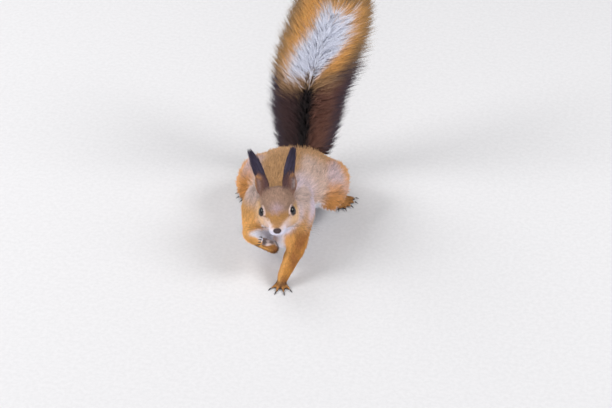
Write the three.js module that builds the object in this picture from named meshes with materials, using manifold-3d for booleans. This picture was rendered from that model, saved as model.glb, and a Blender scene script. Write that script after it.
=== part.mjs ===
// A red squirrel, life size and still: crouched on both hind feet and the left forefoot, the right
// forefoot lifted to the chest, the tail raised. Millimetres, +Z up. The squirrel faces -Y, so its own
// left side is +X.
// Every solid of flesh reaches out to the tips of the coat.
import * as THREE from "three";
import { mergeVertices } from "three/addons/utils/BufferGeometryUtils.js";
import Module from "manifold-3d";

const wasm = await Module();
wasm.setup();

// Driving dimensions
const GAP = 0.3; // left between neighbours
const LEFT = 1;
const RIGHT = -1;

const trunk = { bellyHalfWidth: 33, chestHalfWidth: 26, rumpHalfWidth: 35, backHeight: 70, bellyHeight: 15 };
const breast = { centre: [3, -44, 24], radii: [15, 17, 16] };
const head = { eyesAt: [4, -63, 64], yaw: 12, pitch: 7, roll: -2.5, cutAt: [0, 17, -9], cutLean: 30 };
const eye = { radius: 5.5, back: 1, side: 11.8, up: 0 };
const ear = {
  length: 25, width: 18, thickness: 2.6, cup: 4.2, lean: 22, turn: 30, splay: { left: 6, right: 14 },
};
const tuft = { length: 22, width: 13, depth: 7.5, taper: 0.45, lean: 3 };
const tail = { halfWidth: 40, halfDepth: 21, rootShare: 0.66, cuts: [0.36, 0.68] };
const hindFoot = { height: 6, halfWidth: 7.2, toe: 10, toeRadius: 2.4 };
const foreFoot = { halfWidth: 4.8, height: 4.2, toe: 9.8, fan: 84, turn: 5, toeRadius: 1.8 };
const claw = { length: 3.4, radius: 1.2, hook: 1.4 };

// Where the joints of the legs are. The right hind foot stands ahead of the left one.
const hindLegs = {
  left: {
    hip: [36.5, 31, 34], haunch: [19.5, 26.5, 20.5], knee: [39, 15, 31], drop: 14,
    heel: [22, 72], toeRoot: [46, 45], turnOut: 18, fan: 92,
  },
  right: {
    hip: [-36.5, 29, 32.5], haunch: [19, 30, 22], knee: [-39, 9, 35], drop: -12,
    heel: [-24, 64], toeRoot: [-46, 36], turnOut: 22, fan: 74,
  },
};
const forelegs = {
  left: { shoulder: [21, -38, 44], elbow: [23, -63, 25], wrist: [15.5, -90, 8.5], palm: [14.5, -94.2, 2.9] },
  right: { shoulder: [-24, -38, 44], elbow: [-23.5, -55, 27], wrist: [3, -77, 31], palm: [2, -79, 35.5] },
};

const coat = {
  body: new THREE.MeshStandardMaterial({ name: "coat", color: 0xa8754a, roughness: 0.9 }),
  tail: new THREE.MeshStandardMaterial({ name: "tail_coat", color: 0x6b4530, roughness: 0.9 }),
  dark: new THREE.MeshStandardMaterial({ name: "tuft_coat", color: 0x251c1c, roughness: 0.9 }),
  nose: new THREE.MeshStandardMaterial({ name: "nose_skin", color: 0x3a2624, roughness: 0.5 }),
  claw: new THREE.MeshStandardMaterial({ name: "claw_horn", color: 0x231c19, roughness: 0.4 }),
  eye: new THREE.MeshStandardMaterial({ name: "eye_gloss", color: 0x0a0808, roughness: 0.06 }),
};

const vec = (p) => new THREE.Vector3(...p);
const rad = THREE.MathUtils.degToRad;
const mirror = ([x, y, z], side) => [x * side, y, z];

// Fields: each is below 0 inside its shape, and about a distance near its surface

function ellipsoid(centre, radii, pitch = 0, yaw = 0) {
  const turn = new THREE.Quaternion().setFromEuler(new THREE.Euler(rad(pitch), 0, rad(yaw), "ZXY")).invert();
  const middle = vec(centre);
  const size = vec(radii);
  const q = new THREE.Vector3();
  const unit = new THREE.Vector3();
  return (p) => {
    q.copy(p).sub(middle).applyQuaternion(turn);
    unit.copy(q).divide(size);
    const k0 = unit.length();
    const k1 = unit.divide(size).length();
    return k1 < 1e-9 ? -Math.min(...radii) : (k0 * (k0 - 1)) / k1;
  };
}

// A rod with round ends, tapering from radiusA to radiusB. flat below 1 presses it flatter along Z.
function limb(from, to, radiusA, radiusB, flat = 1) {
  const a = vec(from);
  const along = vec(to).sub(a);
  const q = new THREE.Vector3();
  return (p) => {
    q.copy(p).sub(a);
    const t = THREE.MathUtils.clamp(q.dot(along) / along.lengthSq(), 0, 1);
    q.addScaledVector(along, -t);
    q.z /= flat;
    return (q.length() - THREE.MathUtils.lerp(radiusA, radiusB, t)) * flat;
  };
}

// The fields joined, with a fillet of about that size where they meet
function blend(size, ...fields) {
  return (p) =>
    fields.reduce((joined, field) => {
      const d = field(p);
      if (joined === null) return d;
      const h = Math.max(size - Math.abs(joined - d), 0) / size;
      return Math.min(joined, d) - (h * h * size) / 4;
    }, null);
}

// Closed meshes

// A closed surface of rings with a pole at each end. ring(i) gives the points of ring i.
function closedRings(count, around, ring, poles) {
  const position = [];
  for (let i = 0; i < count; i++) ring(i).forEach((p) => position.push(p.x, p.y, p.z));
  poles.forEach((p) => position.push(p.x, p.y, p.z));
  const first = count * around;
  const index = [];
  for (let j = 0; j < around; j++) {
    const next = (j + 1) % around;
    for (let i = 0; i + 1 < count; i++) {
      const [a, b, c, d] = [i * around + j, i * around + next, (i + 1) * around + next, (i + 1) * around + j];
      index.push(a, b, c, a, c, d);
    }
    index.push(first, next, j);
    index.push(first + 1, (count - 1) * around + j, (count - 1) * around + next);
  }
  const geometry = new THREE.BufferGeometry();
  geometry.setAttribute("position", new THREE.Float32BufferAttribute(position, 3));
  geometry.setIndex(index);
  return geometry;
}

// How far a field's surface is from a point inside it
function distanceOut(field, from, direction, reach) {
  const p = new THREE.Vector3();
  const at = (r) => field(p.copy(from).addScaledVector(direction, r));
  let inside = 0;
  let outside = null;
  for (let r = 0; r < reach; ) {
    const d = at(r);
    if (d > 0) {
      outside = r;
      break;
    }
    inside = r;
    r += Math.max(-d * 0.8, 0.15);
  }
  if (outside === null) return inside;
  for (let i = 0; i < 14; i++) {
    const middle = (inside + outside) / 2;
    if (at(middle) > 0) outside = middle;
    else inside = middle;
  }
  return inside;
}

// The surface of a field as seen from a run of points inside it: rings across the run, and a fan of
// rings round each end. offset moves the surface out.
function wrap(field, run, { rings = 8, around = 16, fan = 4, reach = 90, up = [0, 0, 1], offset = 0 } = {}) {
  const line = new THREE.CatmullRomCurve3(run.map(vec), false, "centripetal");
  const grown = (p) => field(p) - offset;
  const frames = [];
  for (let i = 1; i <= fan; i++) frames.push({ t: 0, polar: -90 + (90 * i) / (fan + 1) });
  for (let i = 0; i <= rings; i++) frames.push({ t: i / rings, polar: 0 });
  for (let i = fan; i >= 1; i--) frames.push({ t: 1, polar: 90 - (90 * i) / (fan + 1) });
  const cast = (from, direction) =>
    from.clone().addScaledVector(direction, distanceOut(grown, from, direction, reach));
  const ring = (i) => {
    const { t, polar } = frames[i];
    const centre = line.getPointAt(t);
    const ahead = line.getTangentAt(t);
    const side = new THREE.Vector3().crossVectors(ahead, vec(up)).normalize();
    const above = new THREE.Vector3().crossVectors(side, ahead);
    return Array.from({ length: around }, (_, j) => {
      const angle = (2 * Math.PI * j) / around;
      const out = side.clone().multiplyScalar(Math.cos(angle)).addScaledVector(above, Math.sin(angle));
      out.multiplyScalar(Math.cos(rad(polar))).addScaledVector(ahead, Math.sin(rad(polar)));
      return cast(centre, out);
    });
  };
  const ends = [
    cast(line.getPointAt(0), line.getTangentAt(0).negate()),
    cast(line.getPointAt(1), line.getTangentAt(1)),
  ];
  return closedRings(frames.length, around, ring, ends);
}

// Solids

function solid(geometry, matrix = new THREE.Matrix4()) {
  const placed = geometry.clone().applyMatrix4(matrix);
  ["normal", "uv"].forEach((name) => placed.deleteAttribute(name));
  const merged = mergeVertices(placed, 1e-4);
  const vertProperties = merged.attributes.position.array;
  const triVerts = new Uint32Array(merged.index.array);
  const make = () => new wasm.Manifold(new wasm.Mesh({ numProp: 3, vertProperties, triVerts }));
  const made = make();
  if (made.volume() > 0) return made;
  for (let i = 0; i < triVerts.length; i += 3) {
    [triVerts[i], triVerts[i + 1]] = [triVerts[i + 1], triVerts[i]];
  }
  return make();
}

const largest = (made) => made.decompose().sort((a, b) => b.volume() - a.volume())[0];
const without = (made, ...cutters) => largest(cutters.reduce((left, cutter) => left.subtract(cutter), made));
const joined = (...pieces) => pieces.reduce((all, piece) => all.add(piece));

// Half of space, as a large box on the side of a plane that its normal points to
function halfSpace(point, normal) {
  const size = 600;
  const turn = new THREE.Quaternion().setFromUnitVectors(new THREE.Vector3(0, 0, 1), vec(normal).normalize());
  const centre = vec(point).addScaledVector(vec(normal).normalize(), size / 2);
  return solid(
    new THREE.BoxGeometry(size, size, size),
    new THREE.Matrix4().compose(centre, turn, new THREE.Vector3(1, 1, 1)),
  );
}

const belowFloor = halfSpace([0, 0, 0], [0, 0, -1]);

const squirrel = new THREE.Group();
squirrel.name = "squirrel";

function addNode(name, made, material) {
  const { vertProperties, triVerts } = made.getMesh();
  const geometry = new THREE.BufferGeometry();
  geometry.setAttribute("position", new THREE.BufferAttribute(vertProperties, 3));
  geometry.setIndex(new THREE.BufferAttribute(triVerts, 1));
  geometry.computeVertexNormals();
  const mesh = new THREE.Mesh(geometry, material);
  mesh.name = name;
  squirrel.add(mesh);
}

// Trunk

const trunkField = (() => {
  const middle = (trunk.backHeight + trunk.bellyHeight) / 2;
  const depth = (trunk.backHeight - trunk.bellyHeight) / 2;
  return blend(
    12,
    ellipsoid([0, -21, 40.5], [trunk.chestHalfWidth, 33, 24.5], 10),
    ellipsoid([0, 8, middle], [trunk.bellyHalfWidth, 42, depth]),
    ellipsoid([0, 35, 33], [trunk.rumpHalfWidth, 33, 24]),
    ellipsoid([19, 40, 33], [24, 26, 21.5]),
    ellipsoid([-19, 38, 33], [24, 26, 21.5]),
    ellipsoid(breast.centre, breast.radii),
  );
})();
const trunkShape = (offset) =>
  wrap(trunkField, [[0, -36, 40], [0, 0, 44], [0, 30, 38], [0, 50, 34]], { rings: 9, around: 20, offset });
const trunkGrown = solid(trunkShape(GAP));

// Head and neck, in the head's own frame: +X the squirrel's left, -Y the way it looks, +Z the crown, and the
// origin midway between the eyes

const headTurn = new THREE.Euler(rad(-head.pitch), rad(head.roll), rad(head.yaw), "ZXY");
const headPose = new THREE.Matrix4().compose(
  vec(head.eyesAt), new THREE.Quaternion().setFromEuler(headTurn), new THREE.Vector3(1, 1, 1));
const toHead = headPose.clone().invert();
const inHead = (p) => vec(p).applyMatrix4(toHead).toArray();

const skullField = blend(
  6,
  ellipsoid([0, 14, 1.5], [15.5, 18, 16]),
  ellipsoid([0, 1, 0], [11, 15, 12]),
  limb([0, -3, -5], [0, -17.5, -8], 10.4, 5.4),
  ellipsoid([0, -11, -2.4], [5.6, 11, 5.6], 28),
);
const cheeks = [LEFT, RIGHT].map((side) =>
  blend(
    4,
    ellipsoid([9.4 * side, 9, -9], [9.4, 13, 10]),
    ellipsoid([3.6 * side, -16.6, -10.2], [4.3, 5.6, 4]),
    ellipsoid([9.2 * side, 1, 5.8], [3.8, 7.5, 2.9], 0, -12 * side),
  ));
const jaw = limb([0, 6, -16], [0, -11.5, -16.6], 8, 3.8);
const throat = ellipsoid([0, 17, -15], [12, 14, 10]);
const neckField = limb([0, 20, -6], inHead([0, -26, 48]), 15, 21);
const headField = blend(5, blend(9, skullField, neckField), ...cheeks, jaw, throat);
const headShape = (offset) =>
  solid(
    wrap(headField, [[0, -16, -8], [0, -8, -6.5], [0, 2, -4], [0, 18, -4], inHead([0, -28, 50])],
      { rings: 13, around: 22, fan: 3, reach: 45, offset }),
    headPose,
  );
const headAndNeck = headShape(0);
const headGrown = headShape(GAP);

const neckPlane = (shift) => {
  const normal = new THREE.Vector3(0, -Math.cos(rad(head.cutLean)), Math.sin(rad(head.cutLean)));
  const point = vec(head.cutAt).addScaledVector(normal, shift);
  const turned = normal.clone().transformDirection(headPose);
  return [point.applyMatrix4(headPose).toArray(), turned.toArray()];
};
const aheadOfNeck = halfSpace(...neckPlane(GAP / 2));
const [behindPoint, behindNormal] = neckPlane(-GAP / 2);
const behindHead = halfSpace(behindPoint, behindNormal.map((n) => -n));

const sphere = (centre, radius) => ellipsoid(centre, [radius, radius, radius]);
const eyeCentre = (side) => [eye.side * side, eye.back, eye.up];
const ball = (centre, radius) =>
  wrap(sphere(centre, radius), [-0.1, 0.1].map((shift) => [centre[0] + shift, centre[1], centre[2]]),
    { rings: 1, around: 12, fan: 2, reach: 2 * radius });

const noseField = blend(
  1.2,
  ellipsoid([0, -22.4, -7.4], [2.9, 2.4, 2.1]),
  ...[LEFT, RIGHT].map((side) => ellipsoid([1.9 * side, -22.2, -7.6], [1.7, 1.9, 1.5])),
);
const noseShape = (offset) =>
  wrap(noseField, [[-1.5, -22.3, -7.5], [1.5, -22.3, -7.5]],
    { rings: 3, around: 10, fan: 1, reach: 8, offset });

const sockets = [LEFT, RIGHT].map((side) => solid(ball(eyeCentre(side), eye.radius + GAP), headPose));
const noseBed = solid(noseShape(GAP), headPose);
const headWhole = without(headAndNeck.intersect(aheadOfNeck), trunkGrown, ...sockets, noseBed);

// Ears and their tufts

// A cupped leaf standing on its stalk end: up the leaf is +Z, its hollow faces -Y.
function leaf({ length, width, thickness, cup }, offset = 0) {
  const rings = 8;
  const across = 6;
  const point = (v, u, face) => {
    const swell = Math.sin(Math.PI * Math.min(0.16 + 0.84 * v, 1)) ** 0.62;
    const half = (width / 2) * Math.max(swell, 0.12) + offset;
    const curl = u * u * cup * Math.max(1 - v, 0.15);
    const edge = Math.sqrt(Math.max(1 - u * u, 0));
    return new THREE.Vector3(
      u * half, -curl + face * (thickness / 2 + offset) * (0.25 + 0.75 * edge), v * length);
  };
  const ring = (i) => {
    const v = i / (rings - 1);
    const out = [];
    for (let j = 0; j < across; j++) out.push(point(v, -1 + (2 * j) / (across - 1), 1));
    for (let j = across - 1; j >= 0; j--) out.push(point(v, -1 + (2 * j) / (across - 1), -1));
    return out;
  };
  const ends = [new THREE.Vector3(0, 0, -0.5), new THREE.Vector3(0, 0, length + 0.6 + offset)];
  return closedRings(rings, 2 * across, ring, ends);
}

function earPose(side, word) {
  const root = new THREE.Vector3(10.3 * side, 18, 9);
  const turn = new THREE.Quaternion().setFromEuler(
    new THREE.Euler(rad(-ear.lean), rad(ear.splay[word] * side), rad(ear.turn * side), "XYZ"));
  return headPose.clone().multiply(new THREE.Matrix4().compose(root, turn, new THREE.Vector3(1, 1, 1)));
}

// A lock of long hair that stands on the ear's tip, narrows upwards and leans outwards
const tuftField = (side) => {
  const base = ear.length - 4;
  const squash = tuft.depth / tuft.width;
  return (p) => {
    const t = THREE.MathUtils.clamp((p.z - base) / tuft.length, 0, 1);
    const radius = (tuft.width / 2) * (1 - tuft.taper * t) * Math.min(1, 0.5 + 3 * t);
    const along = Math.max(base - p.z, p.z - base - tuft.length, 0);
    return (Math.hypot(p.x - side * tuft.lean * t, p.y / squash, along) - radius) * squash;
  };
};

function addEar(side, word) {
  const pose = earPose(side, word);
  const pinna = without(solid(leaf(ear), pose), headGrown);
  addNode("ear_" + word, pinna, coat.body);
  const lock = solid(
    wrap(tuftField(side), [[0, 0, ear.length - 2], [side * tuft.lean, 0, ear.length + tuft.length - 6]],
      { rings: 4, around: 6, fan: 1, reach: 12, up: [0, 1, 0] }),
    pose,
  );
  addNode("ear_tuft_" + word, without(lock, solid(leaf(ear, GAP), pose), headGrown), coat.dark);
}

addNode("head", headWhole, coat.body);
addNode("neck", without(headAndNeck.intersect(behindHead), trunkGrown), coat.body);
addNode("nose", solid(noseShape(0), headPose), coat.nose);
for (const [side, word] of [[LEFT, "left"], [RIGHT, "right"]]) {
  addNode("eye_" + word, solid(ball(eyeCentre(side), eye.radius), headPose), coat.eye);
  addEar(side, word);
}
addNode("trunk", solid(trunkShape(0)), coat.body);

// A chain of limb parts: each is cut back from the ones that come before it

function addLimb(parts, neighbours) {
  const grown = [...neighbours];
  for (const { name, field, run, size, onFloor } of parts) {
    let made = solid(wrap(field, run, size));
    if (onFloor) made = without(made, belowFloor);
    addNode(name, without(made, ...grown), coat.body);
    grown.push(solid(wrap(field, run, { ...size, offset: GAP })));
  }
  return grown;
}

// A fan of toes from a root point: where each starts and ends, turned to both sides of the foot's heading
function toes({ root, heading, fan, count, spread, length, drop, shorter }) {
  return Array.from({ length: count }, (_, i) => {
    const place = (2 * i) / (count - 1) - 1;
    const turned = heading + rad((place * fan) / 2);
    const reach = length * (1 - shorter * place * place);
    const across = new THREE.Vector3(Math.cos(heading), Math.sin(heading), 0).multiplyScalar(spread * place);
    const ahead = new THREE.Vector3(Math.sin(turned), -Math.cos(turned), 0);
    const from = vec(root).add(across);
    const to = from.clone().addScaledVector(ahead, reach);
    to.z -= drop;
    return { from: from.toArray(), to: to.toArray(), ahead };
  });
}

// A claw out of a toe's end: three short tapering lengths that hook down
function clawShape(toe, radius) {
  const start = vec(toe.to).addScaledVector(toe.ahead, radius + GAP);
  start.z += radius * 0.25;
  const sides = 5;
  const ring = (i) => {
    const t = i / 2;
    const centre = start.clone().addScaledVector(toe.ahead, t * claw.length);
    centre.z -= claw.hook * t * t;
    const side = new THREE.Vector3(-toe.ahead.y, toe.ahead.x, 0);
    const size = claw.radius * (1 - 0.75 * t);
    return Array.from({ length: sides }, (_, j) => {
      const angle = (2 * Math.PI * j) / sides;
      return centre.clone().addScaledVector(side, 0.8 * size * Math.cos(angle))
        .add(new THREE.Vector3(0, 0, size * Math.sin(angle)));
    });
  };
  const tip = ring(2).reduce((sum, p) => sum.add(p), new THREE.Vector3()).divideScalar(sides);
  return closedRings(3, sides, ring, [start, tip.addScaledVector(toe.ahead, 0.7)]);
}

function addFoot(name, palmField, palmRun, palmSize, digits, radius, neighbours, onFloor) {
  const digit = (toe) =>
    solid(wrap(limb(toe.from, toe.to, radius * 1.1, radius * 0.9), [toe.from, toe.to],
      { rings: 2, around: 6, fan: 1, reach: 8 }));
  let foot = joined(solid(wrap(palmField, palmRun, palmSize)), ...digits.map(digit));
  if (onFloor) foot = foot.subtract(belowFloor);
  addNode(name, without(foot, ...neighbours), coat.body);
  digits.forEach((toe, i) => {
    let horn = solid(clawShape(toe, radius));
    if (onFloor) horn = horn.subtract(belowFloor);
    addNode(`${name}_claw_${i + 1}`, horn, coat.claw);
  });
}

// Hind legs

function addHindLeg(side, word) {
  const { hip, haunch, knee, drop, heel, toeRoot, turnOut, fan } = hindLegs[word];
  const ankle = [...heel, 6];
  const sole = [...toeRoot, 3.4];
  const shank = [[knee[0], knee[1] + 3, knee[2] - 6], [heel[0], heel[1] - 3, 11]];
  const grown = addLimb([
    {
      name: "thigh_" + word,
      field: blend(8, ellipsoid(hip, haunch, drop, 4 * side), ellipsoid(knee, [13, 15, 14])),
      run: [[hip[0], hip[1] + 13, hip[2]], knee],
      size: { rings: 5, around: 12, fan: 2, reach: 60 },
      onFloor: true,
    },
    {
      name: "shank_" + word,
      field: limb(...shank, 10, 7.5),
      run: shank,
      size: { rings: 3, around: 10, fan: 2, reach: 30 },
      onFloor: true,
    },
  ], [trunkGrown]);
  const heading = Math.atan2(toeRoot[0] - heel[0], heel[1] - toeRoot[1]);
  const digits = toes({
    root: sole, heading: heading + rad(turnOut * side), fan, count: 5, spread: 5.2,
    length: hindFoot.toe, drop: 1.5, shorter: 0.22,
  });
  const flat = hindFoot.height / hindFoot.halfWidth;
  addFoot("hind_foot_" + word, limb(ankle, sole, hindFoot.halfWidth * 0.85, hindFoot.halfWidth, flat),
    [ankle, sole], { rings: 3, around: 10, fan: 2, reach: 20 }, digits, hindFoot.toeRadius, grown, true);
}

addHindLeg(LEFT, "left");
addHindLeg(RIGHT, "right");

// Forelegs

function addForeleg(word, onFloor) {
  const { shoulder, elbow, wrist, palm } = forelegs[word];
  const blade = shoulder.map((n, i) => n + [0, 9, 3][i]);
  const upper = blend(
    7,
    ellipsoid(blade, [12, 20, 20], -18),
    limb(shoulder, elbow, 13, 9.5),
  );
  const grown = addLimb([
    {
      name: "upper_arm_" + word,
      field: upper,
      run: [shoulder, elbow],
      size: { rings: 4, around: 12, fan: 2, reach: 40 },
    },
    {
      name: "forearm_" + word,
      field: limb(elbow, wrist, 9.5, 6),
      run: [elbow, wrist],
      size: { rings: 4, around: 10, fan: 2, reach: 20 },
    },
  ], [trunkGrown, headGrown]);
  const flat = foreFoot.height / foreFoot.halfWidth;
  const digits = toes({
    root: palm, heading: rad(foreFoot.turn), fan: foreFoot.fan, count: 4, spread: 3.4,
    length: foreFoot.toe, drop: onFloor ? 2.2 : 0, shorter: 0.3,
  });
  if (!onFloor) curl(digits, palm);
  const hand = limb(wrist, palm, foreFoot.halfWidth * 0.92, foreFoot.halfWidth, onFloor ? flat : 1);
  addFoot("hand_" + word, hand, [wrist, palm], { rings: 2, around: 10, fan: 2, reach: 14 }, digits,
    foreFoot.toeRadius, grown, onFloor);
}

// The lifted paw's digits lie side by side and turn back across the breast from the palm
function curl(digits, palm) {
  digits.forEach((toe, i) => {
    const place = i - 1.5;
    toe.ahead = new THREE.Vector3(-0.85, -0.2 - 0.12 * place, 0.42).normalize();
    toe.from = [palm[0] - 1.5, palm[1] - 2.4 * place, palm[2] + 0.6];
    toe.to = vec(toe.from).addScaledVector(toe.ahead, foreFoot.toe * 0.75).toArray();
  });
}

addForeleg("left", true);
addForeleg("right", false);

// Tail: a plume along a curve, flattened front to back, parted into three lengths

const tailBends = [
  [-2, 68, 32], [-2, 88, 48], [1, 95, 86], [4, 97, 121], [15, 106, 155], [25, 121, 190], [34, 136, 214],
];
const tailLine = new THREE.CatmullRomCurve3(tailBends.map(vec));

function tailShape(rings = 12, around = 14) {
  const ring = (i) => {
    const t = (i + 0.5) / rings;
    const centre = tailLine.getPointAt(t);
    const ahead = tailLine.getTangentAt(t);
    const side = new THREE.Vector3().crossVectors(new THREE.Vector3(0, 1, 0), ahead).normalize();
    const back = new THREE.Vector3().crossVectors(ahead, side);
    const grow = THREE.MathUtils.lerp(tail.rootShare, 1, THREE.MathUtils.smoothstep(t, 0, 0.35))
      + 0.07 * THREE.MathUtils.smoothstep(t, 0.4, 0.6);
    const end = Math.sqrt(Math.max(1 - Math.max((t - 0.72) / 0.29, 0) ** 2.2, 0.02));
    return Array.from({ length: around }, (_, j) => {
      const angle = (2 * Math.PI * j) / around;
      return centre.clone()
        .addScaledVector(side, tail.halfWidth * grow * end * Math.cos(angle))
        .addScaledVector(back, tail.halfDepth * grow * end * Math.sin(angle));
    });
  };
  return closedRings(rings, around, ring, [tailLine.getPointAt(0), tailLine.getPointAt(1)]);
}

function addTail() {
  const names = ["tail_base", "tail_middle", "tail_tip"];
  const plume = without(solid(tailShape()), trunkGrown);
  const beyond = (t, shift, way) => {
    const ahead = tailLine.getTangentAt(t);
    const point = tailLine.getPointAt(t).addScaledVector(ahead, shift * way);
    return halfSpace(point.toArray(), ahead.multiplyScalar(way).toArray());
  };
  names.forEach((name, i) => {
    let length = plume;
    if (i > 0) length = length.intersect(beyond(tail.cuts[i - 1], GAP / 2, 1));
    if (i < 2) length = length.intersect(beyond(tail.cuts[i], GAP / 2, -1));
    addNode(name, largest(length), coat.tail);
  });
}

addTail();

// The origin goes to the middle of the base
const bounds = new THREE.Box3().setFromObject(squirrel);
squirrel.position.set(-(bounds.min.x + bounds.max.x) / 2, -(bounds.min.y + bounds.max.y) / 2, -bounds.min.z);

export default squirrel;
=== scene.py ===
"""A red squirrel as a still museum model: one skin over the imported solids, with a coat of mesh tufts."""
import math

import bmesh
import bpy
import numpy as np
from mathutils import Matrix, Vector
from mathutils.kdtree import KDTree


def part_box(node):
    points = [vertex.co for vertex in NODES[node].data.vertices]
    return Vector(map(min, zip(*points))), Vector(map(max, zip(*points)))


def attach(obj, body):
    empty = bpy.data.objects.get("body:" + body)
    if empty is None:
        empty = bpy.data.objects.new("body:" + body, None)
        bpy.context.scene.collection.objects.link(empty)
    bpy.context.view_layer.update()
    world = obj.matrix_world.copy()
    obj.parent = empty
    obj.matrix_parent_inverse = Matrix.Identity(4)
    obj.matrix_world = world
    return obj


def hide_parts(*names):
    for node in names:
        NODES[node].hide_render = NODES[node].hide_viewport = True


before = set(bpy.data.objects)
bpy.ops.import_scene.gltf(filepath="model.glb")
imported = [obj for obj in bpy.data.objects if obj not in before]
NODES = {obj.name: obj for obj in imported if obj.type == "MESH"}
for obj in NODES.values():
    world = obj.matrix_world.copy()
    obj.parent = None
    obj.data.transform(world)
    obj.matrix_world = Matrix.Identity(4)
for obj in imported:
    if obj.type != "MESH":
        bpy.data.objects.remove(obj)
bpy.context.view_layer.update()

MM = 0.001
rng = np.random.default_rng(11)
SIDES = ("left", "right")
# How far apart the points lie that stand for the solids' surfaces
CLOUD_STEP = 1.6 * MM

# ------------------------------ arrays


def unit(v):
    return v / np.maximum(np.linalg.norm(v, axis=-1, keepdims=True), 1e-12)


def square_to(axis, v):
    """The unit directions nearest to v that stand square to an axis."""
    return unit(v - axis * (v * axis).sum(-1, keepdims=True))


def bump(distance, width):
    return np.exp(-(distance / width) ** 2)


def smooth(a, b, x):
    t = np.clip((np.asarray(x, float) - a) / (b - a), 0, 1)
    return t * t * (3 - 2 * t)


def mix(a, b, t):
    t = np.asarray(t, float)[..., None]
    return a * (1 - t) + b * t


def rgb(r, g, b):
    """A linear colour from its 0 to 255 screen values."""
    c = np.array([r, g, b], float) / 255
    return np.where(c <= 0.04045, c / 12.92, ((c + 0.055) / 1.055) ** 2.4)


def node_arrays(name):
    """A CAD node's welded corners and triangles."""
    me = NODES[name].data
    me.calc_loop_triangles()
    co = np.empty(len(me.vertices) * 3, np.float32)
    me.vertices.foreach_get("co", co)
    tri = np.empty(len(me.loop_triangles) * 3, np.int32)
    me.loop_triangles.foreach_get("vertices", tri)
    keys, first, back = np.unique(
        np.round(co.reshape(-1, 3) * 1e6).astype(np.int64), axis=0, return_index=True, return_inverse=True)
    tri = back.reshape(-1)[tri].reshape(-1, 3)
    keep = (tri[:, 0] != tri[:, 1]) & (tri[:, 1] != tri[:, 2]) & (tri[:, 0] != tri[:, 2])
    return co.reshape(-1, 3)[first].astype(float), tri[keep]


def face_normals(v, tri):
    """Each triangle's normal, as long as twice its area."""
    return np.cross(v[tri[:, 1]] - v[tri[:, 0]], v[tri[:, 2]] - v[tri[:, 0]])


def areas(v, tri):
    return np.linalg.norm(face_normals(v, tri), axis=1) / 2


def corner_normals(v, tri):
    n = face_normals(v, tri)
    out = np.zeros_like(v)
    for k in range(3):
        for axis in range(3):
            out[:, axis] += np.bincount(tri[:, k], n[:, axis], len(v))
    return unit(out)


def spread(weight, count):
    """Triangle numbers and corner weights of count random places, as thick as each triangle's weight."""
    total = np.cumsum(weight)
    at = (np.arange(count) + rng.random(count)) / count * total[-1]
    face = np.minimum(np.searchsorted(total, at), len(weight) - 1)
    a, b = np.sqrt(rng.random(count)), rng.random(count)
    return face, np.stack([1 - a, a * (1 - b), a * b], 1)


def blend_at(values, tri, face, weights):
    return np.einsum("nk,nk...->n...", weights, values[tri[face]])


def middle(name):
    low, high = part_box(name)
    return np.array((low + high) / 2)


def cloud_of(names):
    """Points all over some solids, and the number of each point's solid."""
    places, owner = [], []
    for i, name in enumerate(names):
        corners, tri = node_arrays(name)
        area = areas(corners, tri)
        face, w = spread(area, int(area.sum() / CLOUD_STEP ** 2))
        places.append(blend_at(corners, tri, face, w))
        owner.append(np.full(len(face), i))
    return np.concatenate(places), np.concatenate(owner)


def tree_of(places):
    tree = KDTree(len(places))
    for i, p in enumerate(places):
        tree.insert(p, i)
    tree.balance()
    return tree


def new_object(name, data):
    obj = bpy.data.objects.new(name, data)
    bpy.context.scene.collection.objects.link(obj)
    return obj


# ------------------------------ the head's own frame

# Across the eyes, and how far the nose lies ahead of and below the line between them
NOSE_AHEAD, NOSE_BELOW = 23.3, 7.5

eyes = {side: middle("eye_" + side) for side in SIDES}
eye_radius = max(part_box("eye_left")[1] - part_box("eye_left")[0]) / 2
head_mid = (eyes["left"] + eyes["right"]) / 2
head_x = unit(eyes["left"] - eyes["right"])
to_nose = square_to(head_x, middle("nose") - head_mid)
dip = math.atan2(NOSE_BELOW, NOSE_AHEAD)
head_up = unit(np.cross(to_nose, head_x))
head_y = -(to_nose * math.cos(dip) + head_up * math.sin(dip))
head_z = unit(np.cross(head_x, head_y))
HEAD = np.stack([head_x, head_y, head_z])


def in_head(p):
    """Places in the head's frame, in mm: X its left, -Y ahead, Z up, from midway between the eyes."""
    return (np.asarray(p) - head_mid) @ HEAD.T / MM


def from_head(p):
    return head_mid + np.asarray(p) * MM @ HEAD


def mirrored(p, side):
    """Places or directions given for the left side, as they are on this side, and back."""
    return p * np.array([1 if side == "left" else -1, 1, 1])


def from_eye(q, side):
    """Places in the head's frame, measured from the middle of an eye as if it were the left one."""
    return mirrored(q - in_head(eyes[side]), side)


def at_eye(d, side):
    """The places that from_eye measures so."""
    return from_head(in_head(eyes[side]) + mirrored(d, side))


# ------------------------------ camera, light and floor

AZIMUTH, ELEVATION, DISTANCE = math.radians(12), math.radians(38), 1.8
SENSOR, LENS = 36.0, 111.2
# How far the middle of the view lies right of and above the eyes, in mm
RIGHT_OF_EYES, ABOVE_EYES = 27.4, 7.1
# Each lamp's name, place and size in metres, and power in watts
LAMPS = (
    ("key", (-1.25, -0.45, 1.08), 0.80, 13.5),
    ("fill", (1.25, 0.10, 1.16), 0.80, 13.5),
    ("front", (0.20, -1.70, 0.22), 0.90, 17.0),
    ("rear", (-0.75, 0.95, 1.25), 0.90, 8.0),
)
LAMPS_FACE = (0, 0, 0.08)
SKY, SKY_STRENGTH = (0.95, 0.97, 1.0, 1), 0.30
FLOOR, FLOOR_HALF = (0.78, 0.77, 0.78), 8

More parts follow.
